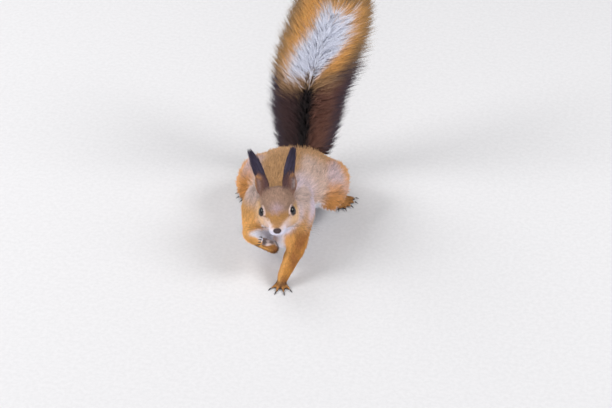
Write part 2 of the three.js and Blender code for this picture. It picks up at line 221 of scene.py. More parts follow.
view_back = np.array([math.sin(AZIMUTH) * math.cos(ELEVATION),
                      -math.cos(AZIMUTH) * math.cos(ELEVATION), math.sin(ELEVATION)])
view_right = np.array([math.cos(AZIMUTH), math.sin(AZIMUTH), 0.0])
view_up = np.cross(view_back, view_right)
target = head_mid + (view_right * RIGHT_OF_EYES + view_up * ABOVE_EYES) * MM


def aim(obj, place, at):
    obj.location = Vector(place)
    obj.rotation_euler = (Vector(at) - Vector(place)).to_track_quat("-Z", "Y").to_euler()


def make_stage():
    scene = bpy.context.scene
    camera = new_object("camera", bpy.data.cameras.new("camera"))
    camera.data.sensor_width = SENSOR
    camera.data.lens = LENS
    camera.data.clip_end = 20
    aim(camera, target + view_back * DISTANCE, target)
    scene.camera = camera
    scene.view_settings.view_transform = "Standard"

    for name, place, size, power in LAMPS:
        lamp = new_object(name, bpy.data.lights.new(name, "AREA"))
        lamp.data.shape = "DISK"
        lamp.data.size = size
        lamp.data.energy = power
        # So that the eyes reflect it
        lamp.visible_glossy = True
        aim(lamp, place, LAMPS_FACE)

    world = bpy.data.worlds.new("studio")
    scene.world = world
    world.use_nodes = True
    background = world.node_tree.nodes["Background"]
    background.inputs["Color"].default_value = SKY
    background.inputs["Strength"].default_value = SKY_STRENGTH

    me = bpy.data.meshes.new("floor")
    square = [(x * FLOOR_HALF, y * FLOOR_HALF, 0) for x, y in ((-1, -1), (1, -1), (1, 1), (-1, 1))]
    me.from_pydata(square, [], [(0, 1, 2, 3)])
    floor = new_object("floor", me)
    me.materials.append(plain_material("floor", FLOOR, 0.95, noise=260, amount=0.03))


# ------------------------------ materials


def new_material(name, rough, specular):
    material = bpy.data.materials.new(name)
    material.use_nodes = True
    tree = material.node_tree
    shader = tree.nodes["Principled BSDF"]
    shader.inputs["Roughness"].default_value = rough
    shader.inputs["Specular IOR Level"].default_value = specular
    return material, tree, shader


def add(tree, kind, **values):
    node = tree.nodes.new(kind)
    for key, value in values.items():
        if key in node.inputs:
            node.inputs[key].default_value = value
        else:
            setattr(node, key, value)
    return node


def noise_at(tree, scale):
    place = add(tree, "ShaderNodeTexCoord")
    noise = add(tree, "ShaderNodeTexNoise", Scale=scale, Detail=3.0, Roughness=0.6)
    tree.links.new(place.outputs["Object"], noise.inputs["Vector"])
    return noise


def lift_surface(tree, shader, noise, strength, height):
    """Bumps of this height in mm where the noise is high."""
    lift = add(tree, "ShaderNodeBump", Strength=strength, Distance=height * MM)
    tree.links.new(noise.outputs["Fac"], lift.inputs["Height"])
    tree.links.new(lift.outputs["Normal"], shader.inputs["Normal"])


def plain_material(name, colour, rough, noise, amount, bump=0.0, specular=0.5):
    """One colour, broken up by noise."""
    material, tree, shader = new_material(name, rough, specular)
    grain = noise_at(tree, noise)
    ramp = add(tree, "ShaderNodeValToRGB")
    for element, k in zip(ramp.color_ramp.elements, (1 - amount, 1 + amount)):
        element.color = (*[min(c * k, 1) for c in colour], 1)
    ramp.color_ramp.elements[0].position, ramp.color_ramp.elements[1].position = 0.35, 0.65
    tree.links.new(grain.outputs["Fac"], ramp.inputs["Fac"])
    tree.links.new(ramp.outputs["Color"], shader.inputs["Base Color"])
    if bump:
        lift_surface(tree, shader, grain, 0.5, bump)
    return material


def marked_material(name, rough, scale, amount, bump=0.0, specular=0.25):
    """The markings that the mesh carries, broken up by noise."""
    material, tree, shader = new_material(name, rough, specular)
    marks = add(tree, "ShaderNodeVertexColor", layer_name="marks")
    grain = noise_at(tree, scale)
    shade = add(tree, "ShaderNodeMapRange",
                **{"From Min": 0.3, "From Max": 0.7, "To Min": 1 - amount, "To Max": 1 + amount})
    times = add(tree, "ShaderNodeVectorMath", operation="SCALE")
    tree.links.new(grain.outputs["Fac"], shade.inputs["Value"])
    tree.links.new(marks.outputs["Color"], times.inputs[0])
    tree.links.new(shade.outputs["Result"], times.inputs["Scale"])
    tree.links.new(times.outputs["Vector"], shader.inputs["Base Color"])
    if bump:
        lift_surface(tree, shader, noise_at(tree, scale * 6), 0.6, bump)
    return material


# ------------------------------ the tail's centre line

TAIL = ("tail_base", "tail_middle", "tail_tip")


def tail_centre_line(cloud, count=60):
    """A smooth line through the middle of the tail's solids, found by slicing them across it."""
    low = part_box("tail_base")[0]
    start = np.array([middle("tail_base")[0], low[1] + 2 * MM, low[2] + 9 * MM])
    upward = unit(middle("tail_tip") - middle("tail_middle"))
    height = cloud @ upward
    end = cloud[height > height.max() - 3 * MM].mean(0)
    line = resample(np.array([start, *(middle(name) for name in TAIL), end]), count)
    share = np.linspace(0, 1, count)
    for _ in range(6):
        ahead = unit(np.gradient(line, axis=0))
        centre, trust = line.copy(), np.full(count, 0.02)
        for i in range(5, count - 7):
            off = cloud - line[i]
            slab = cloud[(np.abs(off @ ahead[i]) < 2.5 * MM) & (np.linalg.norm(off, axis=1) < 55 * MM)]
            centre[i] = (slab.min(0) + slab.max(0)) / 2
            trust[i] = 1.0
        centre[0], centre[-1] = start, end
        trust[[0, -1]] = 8.0
        fit = np.polynomial.polynomial.polyfit(share, centre, 4, w=trust)
        line = resample(np.polynomial.polynomial.polyval(share, fit).T, count)
    return line


def resample(line, count):
    step = np.r_[0, np.cumsum(np.linalg.norm(np.diff(line, axis=0), axis=1))]
    at = np.linspace(0, step[-1], count)
    return np.stack([np.interp(at, step, line[:, k]) for k in range(3)], 1)


tail_points = cloud_of(TAIL)[0]
tail_line = tail_centre_line(tail_points)
tail_ahead = unit(np.gradient(tail_line, axis=0))
tail_side = unit(np.cross([0.0, 1.0, 0.0], tail_ahead))
tail_back = np.cross(tail_ahead, tail_side)
tail_step = np.linalg.norm(np.diff(tail_line, axis=0), axis=1).mean()


def along_tail(t, values):
    at = np.clip(t, 0, 1) * (len(values) - 1)
    return np.stack([np.interp(at, np.arange(len(values)), values[:, k]) for k in range(values.shape[1])], 1)


def measure_tail(cloud):
    """Half the tail's width and half its depth at each step of its line, measured on its solids."""
    near = np.linalg.norm(cloud[:, None] - tail_line[None], axis=2).argmin(1)
    off = cloud - tail_line[near]
    across = np.abs((off * tail_side[near]).sum(1))
    deep = np.abs((off * tail_back[near]).sum(1))
    room = np.zeros((len(tail_line), 2))
    for i in range(len(tail_line)):
        close = np.abs(near - i) <= 2
        if close.sum() > 8:
            room[i] = np.percentile(across[close], 96), np.percentile(deep[close], 96)
    for _ in range(4):
        room[1:-1] = (room[:-2] + room[1:-1] + room[2:]) / 3
    return room


tail_room = measure_tail(tail_points)


# ------------------------------ the skin

FLESH = ("trunk", "neck", "head") + tuple(
    f"{part}_{side}" for side in SIDES
    for part in ("ear", "thigh", "shank", "hind_foot", "upper_arm", "forearm", "hand"))

# Each region's coat in mm: how deep it stands, its tufts' length and width, and tufts to a square mm.
# "even" is how far the skin under it is smoothed.
COAT = {
    "trunk":     dict(depth=2.8, length=9.0, width=0.80, tufts=2.1, even=1.0),
    "neck":      dict(depth=2.2, length=7.0, width=0.65, tufts=2.8, even=1.0),
    "head":      dict(depth=1.1, length=3.6, width=0.42, tufts=5.0, even=0.20),
    "ear":       dict(depth=0.4, length=2.6, width=0.32, tufts=5.0, even=0.10),
    "thigh":     dict(depth=2.6, length=8.5, width=0.75, tufts=2.3, even=1.0),
    "shank":     dict(depth=1.5, length=5.0, width=0.50, tufts=3.0, even=0.5),
    "hind_foot": dict(depth=0.5, length=2.4, width=0.36, tufts=4.5, even=0.05),
    "upper_arm": dict(depth=1.7, length=5.5, width=0.55, tufts=3.0, even=0.8),
    "forearm":   dict(depth=1.1, length=4.2, width=0.45, tufts=3.6, even=0.3),
    "hand":      dict(depth=0.4, length=2.0, width=0.32, tufts=5.0, even=0.05),
    "tail":      dict(depth=0.2, length=6.0, width=0.55, tufts=0.0, even=0.6),
}
# The tail comes last
REGIONS = tuple(COAT)
VOXEL = 0.98 * MM
# How far from the middle of the animal's face the skin's faces are finer
FINE_REACH = 23 * MM
# The share of the tail's centre line that has flesh round it, and the sides of that flesh
CORE_END, CORE_SIDES = 0.80, 14
# Creases between solids are filled by growing them this far, in mm, near the body and elsewhere
CLOSE_BODY, CLOSE_REST = 3.0, 0.3
# Rounds of smoothing: the shares of each region, the whole skin, where limbs join the body, and the coat's lie
SHARE_STEPS, SKIN_STEPS, SEAM_STEPS, LIE_STEPS = 14, 45, 260, 30
# Rounds in which the skin sinks to its depth under the coat
SINK_STEPS = 4


def coat_of(share, key):
    """A measure of the coat at places with these shares of each region."""
    return share @ np.array([COAT[region][key] for region in REGIONS])


def region_of(name):
    plain = name.replace("_left", "").replace("_right", "")
    return "tail" if plain.startswith("tail") else plain


def make_mesh(name, v, faces):
    me = bpy.data.meshes.new(name)
    me.vertices.add(len(v))
    me.vertices.foreach_set("co", np.asarray(v, np.float32).ravel())
    me.loops.add(faces.size)
    me.loops.foreach_set("vertex_index", np.asarray(faces, np.int32).ravel())
    me.polygons.add(len(faces))
    me.polygons.foreach_set("loop_start", np.arange(0, faces.size, faces.shape[1], dtype=np.int32))
    me.update(calc_edges=True)
    return me


def make_object(name, me, material, slot, *replaced):
    obj = new_object(name, me)
    me.materials.append(material)
    me.polygons.foreach_set("use_smooth", np.full(len(me.polygons), True))
    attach(obj, "root")
    if replaced:
        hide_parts(*replaced)


def write_marks(me, colours):
    """Gives a mesh its markings, a colour for each corner."""
    rgba = np.ones((len(colours), 4), np.float32)
    rgba[:, :3] = colours
    me.color_attributes.new("marks", "FLOAT_COLOR", "POINT").data.foreach_set("color", rgba.ravel())


def joined(meshes):
    starts = np.cumsum([0] + [len(v) for v, _ in meshes])
    return np.concatenate([v for v, _ in meshes]), np.concatenate([tri + k for (_, tri), k in zip(meshes, starts)])


def voxel_mesh(v, tri):
    """One closed mesh round all the solids, with finer faces on the face of the animal."""
    source = new_object("solids", make_mesh("solids", v, tri))
    remesh = source.modifiers.new("voxels", "REMESH")
    remesh.mode = "VOXEL"
    remesh.voxel_size = VOXEL
    evaluated = source.evaluated_get(bpy.context.evaluated_depsgraph_get())
    bm = bmesh.new()
    bm.from_mesh(evaluated.to_mesh())
    bpy.data.objects.remove(source)
    face_mid = Vector(from_head([0, -4, -4]))
    near = [e for e in bm.edges if all((w.co - face_mid).length < FINE_REACH for w in e.verts)]
    bmesh.ops.subdivide_edges(bm, edges=near, cuts=1, use_grid_fill=True)
    bmesh.ops.triangulate(bm, faces=bm.faces[:])
    corners = np.array([w.co for w in bm.verts])
    faces = np.array([[w.index for w in f.verts] for f in bm.faces])
    bm.free()
    return corners, faces


def edges_of(tri):
    pairs = np.sort(np.concatenate([tri[:, [0, 1]], tri[:, [1, 2]], tri[:, [2, 0]]]), axis=1)
    return np.unique(pairs, axis=0)


def neighbour_mean(values, edges):
    count = len(values)
    degree = np.bincount(edges.ravel(), minlength=count)
    out = np.empty_like(values)
    for k in range(values.shape[1]):
        out[:, k] = (np.bincount(edges[:, 0], values[edges[:, 1], k], count)
                     + np.bincount(edges[:, 1], values[edges[:, 0], k], count))
    return out / np.maximum(degree, 1)[:, None]


def relax(values, edges, steps, weight=1.0):
    weight = np.broadcast_to(weight, len(values))[:, None]
    for _ in range(steps):
        values = values + weight * 0.6 * (neighbour_mean(values, edges) - values)
    return values


def seams(share, edges):
    """How near each place is to where a limb joins the body, from 0 to 1."""
    wide = relax(share, edges, 80)
    body, limb = (wide[:, [REGIONS.index(k) for k in names]].sum(1)
                  for names in (("trunk", "neck", "head"), ("thigh", "upper_arm")))
    return np.clip(9 * body * limb, 0, 1)


def nearest_node(v):
    """The name of the node that each place on the skin comes from."""
    names = FLESH + TAIL
    places, owner = cloud_of(names)
    # The core lies deep inside the tail's solids, so past the rump its line counts as the tail too
    line = tail_line[4:]
    tree = tree_of(np.concatenate([places, line]))
    owner = np.r_[owner, np.full(len(line), names.index("tail_middle"))]
    found = np.array([owner[tree.find(p)[1]] for p in v])
    return np.array(names)[found]


body_tree = tree_of(cloud_of([n for n in FLESH if region_of(n) in ("trunk", "neck", "thigh")])[0])


def closing(v, region):
    """How far the solids are grown at these places of one region, to close the creases between them."""
    if region in ("trunk", "neck", "thigh"):
        return np.full(len(v), CLOSE_BODY)
    if region not in ("head", "upper_arm", "forearm", "shank"):
        return np.full(len(v), CLOSE_REST)
    far = np.array([body_tree.find(p)[2] for p in v]) / MM
    return CLOSE_REST + (CLOSE_BODY - CLOSE_REST) * smooth(13, 2, far)


# ------------------------------ eyes, in the head's frame

GAZE = unit(np.array([0.80, -0.46, 0.38]))
EYE_LONG = square_to(GAZE, np.array([-0.40, -0.90, -0.22]))
EYE_HIGH = np.cross(GAZE, EYE_LONG)
# Half the angle that the lids leave open, along and across the eye
OPEN_LONG, OPEN_HIGH = math.radians(50), math.radians(43)
# How deep the skin lies inside the eyeball, and how far the lids stand out from it, in mm
SOCKET, LID_OUT = 1.2, 0.55
LID_THICK = 0.42 * MM


def lid_angle(turn):
    """The angle from the gaze to the lids' edge, by the turn round the gaze."""
    return 1 / np.sqrt((np.cos(turn) / OPEN_LONG) ** 2 + (np.sin(turn) / OPEN_HIGH) ** 2)


def eye_place(q, side):
    """How far a place in the head's frame lies from the eye's middle, and its share of the way to the lid."""
    d = from_eye(q, side)
    along, high, out = d @ EYE_LONG, d @ EYE_HIGH, d @ GAZE
    angle = np.arctan2(np.hypot(along, high), out)
    return np.linalg.norm(d, axis=-1), angle / lid_angle(np.arctan2(high, along))


def lid_point(turn, side, out):
    """A point on the lid's edge, out mm from the eye's middle."""
    lid = lid_angle(turn)
    d = (np.cos(lid)[:, None] * GAZE
         + np.sin(lid)[:, None] * (np.cos(turn)[:, None] * EYE_LONG + np.sin(turn)[:, None] * EYE_HIGH))
    return at_eye(d * out, side)


def mouth_height(y):
    """The height of the line of the mouth in the head's frame."""
    return -13.2 - 0.10 * (y + 20)


def sculpt_face(v, n):
    """Opens the lids and cuts the mouth, the lip's cleft and the whisker pads into the skin."""
    q = in_head(v)
    x, y, z = np.abs(q[:, 0]), q[:, 1], q[:, 2]
    front = smooth(-8, -12, y)
    mouth = front * bump(z - mouth_height(y), 0.75) * smooth(9, 6.5, x)
    cleft = smooth(-17, -19, y) * bump(x, 0.55) * smooth(-8.5, -9.5, z) * smooth(-13.6, -12.6, z)
    pads = bump(x - 3.8, 2.2) * bump(y + 18, 3.5) * bump(z + 9.6, 2.4)
    brow = bump(x - 12.5, 4.0) * bump(y - 1, 6.0) * bump(z - 6.5, 2.2)
    rise = 0.55 * pads + 0.5 * brow - 0.9 * mouth - 0.7 * cleft
    q = in_head(v + n * rise[:, None] * MM)
    radius = eye_radius / MM
    for side in SIDES:
        far, share = eye_place(q, side)
        eye_mid = in_head(eyes[side])
        edge = radius - SOCKET + (SOCKET + LID_OUT) * smooth(0.86, 1.0, share)
        pull = smooth(1.75, 1.12, share) * smooth(radius + 4.5, radius + 2.0, far)
        new = far + (edge - far) * pull
        q = eye_mid + (q - eye_mid) * (new / np.maximum(far, 1e-6))[:, None]
    return from_head(q)


# ------------------------------ which way the coat lies

# The way that each region's coat lies: a fixed way, and how much it leans towards which other node
COAT_WAY = {
    "trunk":     ((0, 1.0, -0.25), 0, "trunk"),
    "neck":      ((0, 1.0, -0.25), 0, "trunk"),
    "thigh":     ((0, 1.0, -0.55), 0, "trunk"),
    "ear":       ((0, 0, 0), 1, "ear_tuft_{}"),
    "upper_arm": ((0, 0.45, -0.75), 0.35, "forearm_{}"),
    "forearm":   ((0, 0, 0), 1, "hand_{}"),
    "hand":      ((0, 0, 0), 1, "hand_{}_claw_2"),
    "shank":     ((0, 0.3, 0), 1, "hind_foot_{}"),
    "hind_foot": ((0, 0, 0), 1, "hind_foot_{}_claw_3"),
}


def flow_field(v, n, node, edges):
    """The way that the coat lies at each place on the skin, along the skin."""
    way = np.zeros_like(v)
    for name in FLESH:
        on = node == name
        if name == "head":
            way[on] = unit(v[on] - from_head([0, -26, -4])) + 0.3 * head_y
            continue
        fixed, lean, other = COAT_WAY[region_of(name)]
        way[on] = unit(middle(other.format(name.split("_")[-1])) - middle(name)) * lean + fixed
    on_tail = np.char.startswith(node, "tail")
    near = np.linalg.norm(v[on_tail][:, None] - tail_line[None], axis=2).argmin(1)
    way[on_tail] = tail_ahead[near]
    for _ in range(LIE_STEPS):
        way = relax(way, edges, 2)
        way = square_to(n, way)
    return way


# ------------------------------ markings

# The lilac is grey fur with a painted sheen of sky light
SPINE, GREY, LILAC_SKY_SHEEN = rgb(156, 119, 82), rgb(186, 160, 147), rgb(188, 173, 184)
RUMP, OCHRE, WHITE, FLANK_LOW = rgb(182, 142, 104), rgb(178, 132, 80), rgb(238, 236, 247), rgb(170, 146, 132)
# The haunch's top colour is a painted lilac sheen of sky light
HAUNCH_TOP_SHEEN, HAUNCH, HAUNCH_LOW = rgb(178, 162, 170), rgb(184, 149, 134), rgb(166, 114, 64)
# The haunch's rim colour is its orange brightened as painted rim light, and its fold colour is painted shade low on
# the haunch
HAUNCH_LIT_RIM, HAUNCH_UNDER_SHADE = rgb(200, 146, 94), rgb(132, 88, 58)
# The arm's pale colour is a painted highlight, and its band colour is brown patches with painted shade
SHOULDER_TOP, ARM, ARM_HIGHLIGHT, ARM_BROWN_AND_SHADE = rgb(178, 156, 148), rgb(172, 119, 58), rgb(214, 158, 92), rgb(134, 84, 48)
# The dark toe colour is painted shade between and under the toes over their dark pads, and the last dark colour is a
# painted shadow in the gap at the lifted paw's top
TOES, TOE_SHADE_AND_PADS, PAW, PAW_GAP_SHADOW = rgb(172, 120, 66), rgb(40, 30, 36), rgb(230, 210, 206), rgb(80, 60, 56)
# A painted shadow at the end of the lifted forearm, by the paw
WRIST_SHADOW = rgb(112, 74, 54)
CROWN, FOREHEAD, TEMPLE = rgb(150, 121, 104), rgb(162, 138, 142), rgb(176, 140, 98)
# A painted shade of the crown's colour
SHADED_CROWN = CROWN * 0.72
MUZZLE, CHEEK, MUZZLE_SIDE, FACE_WHITE = rgb(162, 117, 68), rgb(214, 178, 142), rgb(228, 204, 198), rgb(228, 226, 244)
EYE_RING, TEAR_LINE, MOUTH = rgb(236, 210, 202), rgb(96, 66, 56), rgb(128, 88, 86)
EAR_BACK, EAR_EDGE, EAR_PALE, EAR_INNER = rgb(98, 70, 60), rgb(80, 56, 56), rgb(150, 136, 134), rgb(108, 76, 66)
EAR_RIM = rgb(158, 114, 74)
# How pale each ear's hollow is: the right one is in shade
PALE_EAR = {"left": 1, "right": 0.35}
TUFT, TUFT_ROOT = rgb(52, 45, 64), rgb(72, 52, 50)
# How far the brown of the spine lies to the right of the trunk's middle, in mm
SPINE_ASIDE = 8
# The ways that the lifted forearm's white side, the planted one's painted highlight and its brown band with painted
# shade, and the left haunch's orange rim with painted rim light face
WHITE_SIDE = unit(np.array([-0.05, 0.55, 0.80]))
HIGHLIGHT_SIDE = unit(np.array([-0.85, -0.50, 0.15]))
BROWN_AND_SHADE_SIDE = unit(np.array([0.45, -0.85, 0.30]))
RIM_LIGHT_SIDE = unit(np.array([0.60, 0.57, 0.56]))


def wander(p, size):
    """A slow unevenness from -1 to 1, size mm across."""
    a = p / MM / size
    return (np.sin(a[:, 0] * 2.1 + 1.3 * np.sin(a[:, 1] * 1.7)) + np.sin(a[:, 1] * 2.7 + 1.1 * np.sin(a[:, 2] * 2.3))
            + np.sin(a[:, 2] * 2.4 + 1.7 * np.sin(a[:, 0] * 1.9))) / 3


def head_colour(v):
    """Brown crown, ochre muzzle, pale cheeks, white chin, the rings and dark lines of the eyes, and painted shade
    above them.
    """
    q = in_head(v) + wander(v, 5)[:, None] * 0.6 + wander(v, 1.9)[:, None] * 0.7
    x, y, z = np.abs(q[:, 0]), q[:, 1], q[:, 2]
    c = mix(CHEEK, TEMPLE, np.maximum(smooth(-6, 0, z), 0.45 * smooth(0.1, 0.8, wander(v, 3))))
    c = mix(c, CROWN, smooth(1, 6, z + 0.15 * (y + 4)))
    c = mix(c, FOREHEAD, 0.95 * bump(x, 6.5) * bump(y + 10, 6.5) * smooth(2, 5, z))
    white_from = -18 + 12 * smooth(2, -18, y)
    # The height up the slope of the face, from the nose at -17 past the brow at 0
    slope = 0.50 * y + 0.87 * z
    half = np.clip(3.2 + 0.74 * (slope + 14.4), 2.6, 11)
    c = mix(c, MUZZLE_SIDE, 0.60 * smooth(0, -7, slope) * bump(x - half - 2.6, 3.4) * smooth(0, -6, y))
    c = mix(c, MUZZLE_SIDE, 0.9 * smooth(white_from + 8, white_from + 1, z) * smooth(4, -8, y))
    c = mix(c, FACE_WHITE, smooth(white_from + 3.0, white_from - 4.5, z))
    on_muzzle = smooth(half + 3.0, half - 2.6, x) * smooth(2.5, -5.5, slope - 0.2 * x) * smooth(-17.5, -15, slope)
    c = mix(c, MUZZLE, 0.90 * on_muzzle)
    c = mix(c, MOUTH, 0.75 * bump(z - mouth_height(y), 0.9) * smooth(-15, -18, y) * smooth(5.5, 2.5, x))
    for side in SIDES:
        far, share = eye_place(in_head(v), side)
        near = smooth(13, 8, far)
        # Painted shade above each eye, beyond its ring
        c = mix(c, SHADED_CROWN, 0.55 * bump(share - 1.62, 0.16) * near * smooth(0.5, 3.0, z))
        d = from_eye(in_head(v), side)
        ahead, below = d @ EYE_LONG, d @ EYE_HIGH
        # The ring fades below the eye and behind it
        c = mix(c, EYE_RING, smooth(1.50, 1.22, share) * near
                * (0.15 + 0.85 * smooth(2.0, -2.0, below)) * (0.3 + 0.7 * smooth(-4.0, 0.0, ahead)))
        # A dark line runs down from the eye's front corner
        tear = bump(below - 0.9, 0.45) * smooth(3.6, 4.6, ahead) * smooth(8.2, 6.6, ahead)
        c = mix(c, TEAR_LINE, 0.8 * tear * near)
    return c


def ear_colour(v, n):
    """Brown backs and edges, with a pale hollow and an ochre rim in front."""
    c = np.broadcast_to(EAR_BACK, v.shape)
    for side in SIDES:
        low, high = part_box("ear_" + side)
        mid = middle("ear_" + side)
        out = mirrored((v - mid) @ HEAD.T, side)[:, 0] / MM
        here = (np.linalg.norm(v - mid, axis=1) < 25 * MM) & (out > -14)
        facing = smooth(0.0, 0.5, -(n @ head_y))
        up = (v[:, 2] - low[2]) / (high[2] - low[2])
        inner = mix(EAR_EDGE, EAR_INNER, smooth(-4, 1, out))
        pale = (0.7 + 0.4 * wander(v, 1.6)) * bump(out - 3.2, 1.8) * smooth(0.14, 0.28, up) * smooth(0.66, 0.48, up)
        inner = mix(inner, EAR_PALE, PALE_EAR[side] * pale)
        rim = np.maximum(smooth(4.8, 6.6, out), bump(up - 0.70, 0.07) * smooth(-1, 2, out))
        inner = mix(inner, EAR_RIM, 0.8 * rim)
        whole = mix(mix(c, EAR_EDGE, smooth(0.45, 0.95, up)), inner, facing)
        c = np.where(here[:, None], whole, c)
    return c


def body_colour(v, n):
    """The trunk and neck: ochre along the spine, grey flanks with a painted lilac sheen of sky light towards the
    front, ochre rump, and white below and on the breast.
    """
    x, y, z = (v / MM).T
    low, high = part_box("trunk")
    share = (y - low[1] / MM) / ((high[1] - low[1]) / MM)
    width = 16 + 3 * wander(v, 9)
    spine_x = middle("trunk")[0] / MM - SPINE_ASIDE
    # A painted lilac sheen of sky light, high on the front half of the back
    c = mix(GREY, LILAC_SKY_SHEEN, smooth(0.55, 0.30, share) * smooth(40, 54, z))
    width = np.where(x < spine_x, width + 3, width)
    c = mix(c, SPINE, smooth(width + 8, width - 5, np.abs(x - spine_x)))
    c = mix(c, RUMP, smooth(0.62, 0.84, share))
    c = mix(c, FLANK_LOW, smooth(38, 26, z))
    under = smooth(0.0, -0.4, n[:, 2] + 0.05 * wander(v, 6)) * smooth(46, 34, z)
    breast = smooth(0.24, 0.12, share) * smooth(47, 39, z)
    return mix(c, WHITE, np.maximum(under, breast))


def nape_colour(v, body):
    """The neck: the crown's colour close behind the ears, with a painted shadow where the back starts."""
    y = in_head(v)[:, 1] + wander(v, 5)
    return mix(mix(CROWN, SHADED_CROWN, smooth(24, 27, y)), body, smooth(28, 34, y))


def thigh_colour(v, n):
    """A painted lilac sheen of sky light on top, pink behind, ochre at the knee, an orange rim round the outside
    brightened as painted rim light, and painted shade low down.
    """
    x, y, z = (v / MM).T
    z = z + 2 * wander(v, 8)
    # The haunch's outward sides carry painted rim light
    rim = np.where(x > 0, smooth(0.56, 0.84, n @ RIM_LIGHT_SIDE), smooth(0.40, 0.80, -n[:, 0]))
    # A painted lilac sheen of sky light on the haunch's upward faces
    top = smooth(39, 47, z) * smooth(0.15, 0.5, n[:, 2]) * np.where(x > 0, 0.65, 0.45 * smooth(24, 10, y))
    c = mix(HAUNCH, RUMP, smooth(14, 26, y) * (x < 0))
    c = mix(c, HAUNCH_TOP_SHEEN, top)
    c = mix(c, HAUNCH_LOW, np.maximum(smooth(9, -14, y + 0.5 * (z - 40) + 3 * wander(v, 6)), smooth(28, 18, z)))
    c = mix(c, HAUNCH_LIT_RIM, 0.9 * rim * smooth(20, 30, z))
    # Painted shade low on the haunch, near the floor
    c = mix(c, HAUNCH_UNDER_SHADE, smooth(18, 8, z))
    return mix(c, WHITE, smooth(-0.35, -0.7, n[:, 2]))


def arm_colour(v, n):
    """Ochre arms, with a painted highlight along the inner edge and brown patches with painted shade down the front,
    with the lifted one's upper side white.
    """
    z = v[:, 2] / MM
    # A painted highlight along the inner edge
    arm = mix(ARM, ARM_HIGHLIGHT, smooth(0.25, 0.85, n @ HIGHLIGHT_SIDE))
    patches = smooth(-0.7, 0.5, wander(v, 6.5))
    # Brown patches with painted shade down the planted arm's front
    arm = mix(arm, ARM_BROWN_AND_SHADE, 0.85 * smooth(0.45, 0.9, n @ BROWN_AND_SHADE_SIDE) * patches * (v[:, 0] > head_mid[0]))
    behind = smooth(0.3, 0.9, n[:, 1] - n[:, 2])
    lifted = smooth(-0.05, 0.45, n @ WHITE_SIDE) * (v[:, 0] < head_mid[0] + 4 * MM) * smooth(14, 18, z)
    return arm, behind, lifted


def paw_colour(v, n, lifted):
    """Toes darkened between and below by painted shade and their dark pads, and the lifted paw's pale fingers with a
    painted shadow in the gap at their top.
    """
    heel = smooth(11, 17, (v[:, 1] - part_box("hind_foot_right")[0][1]) / MM)
    side_on = 0.25 - 0.50 * heel + 0.20 * (v[:, 1] < head_mid[1] + 30 * MM)
    foot = mix(TOE_SHADE_AND_PADS, TOES, smooth(side_on, side_on + 0.45, n[:, 2]))
    # Painted shade: the toes' colour darker higher up the paw
    foot = mix(foot, TOES * 0.85, smooth(12, 16, v[:, 2] / MM))
    low, high = (corner[2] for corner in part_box("hand_right"))
    up = (v[:, 2] - low) / (high - low) + 0.05 * wander(v, 2)
    # A painted shadow in the gap across the lifted paw's top
    gap_shadow = 0.9 * bump(up - 0.86, 0.10)
    return mix(foot, mix(PAW, PAW_GAP_SHADOW, gap_shadow), lifted * smooth(0.08, 0.30, up))


def markings(v, n, share):
    """The colour of the coat at places with these normals and shares of each region."""
    z = v[:, 2] / MM
    arm, behind, lifted = arm_colour(v, n)
    height = z + 3 * smooth(-5, 5, v[:, 0] / MM) + 1.5 * wander(v, 6)
    upper = mix(mix(arm, OCHRE, smooth(36, 46, height)), SHOULDER_TOP, smooth(48, 60, height))
    # A painted lilac sheen of sky light on the upper arm's side that faces the squirrel's left
    upper = mix(upper, LILAC_SKY_SHEEN, smooth(0.50, 0.90, n[:, 0]) * smooth(34, 52, z))
    foot = paw_colour(v, n, lifted)
    # Painted shadow at the end of the lifted forearm
    wrist_shadow = (v[:, 0] < head_mid[0] + 8 * MM) * smooth(-2, 6, v[:, 0] / MM) * smooth(14, 18, z)
    body = body_colour(v, n)
    by_region = {
        "trunk": body, "neck": nape_colour(v, body), "head": head_colour(v),
        "ear": ear_colour(v, n), "thigh": thigh_colour(v, n),
        "upper_arm": mix(upper, WHITE, 0.6 * behind),
        "forearm": mix(mix(mix(arm, WHITE, 0.6 * behind), WHITE, lifted), WRIST_SHADOW, 0.5 * wrist_shadow),
        "hand": foot,
        "shank": mix(HAUNCH_LOW, WHITE, smooth(-0.3, -0.7, n[:, 2])),
        # The hind feet darkened by painted shade under the body
        "hind_foot": mix(foot, TOE_SHADE_AND_PADS, 0.25),
        "tail": tail_colour(v, np.zeros(len(v)))}
    return sum(share[:, [i]] * by_region[region] for i, region in enumerate(REGIONS))


# The two dark tail browns are one brown, painted lit on the squirrel's left and shaded on its right
TAIL_CORE, TAIL_LIT_LEFT, TAIL_SHADED_RIGHT = rgb(22, 12, 15), rgb(102, 66, 54), rgb(56, 33, 34)
TAIL_TAN, TAIL_BLUE, TAIL_ORANGE = rgb(152, 118, 84), rgb(52, 40, 52), rgb(196, 144, 80)
TAIL_WHITE, TAIL_FRINGE = rgb(232, 235, 250), rgb(96, 80, 62)


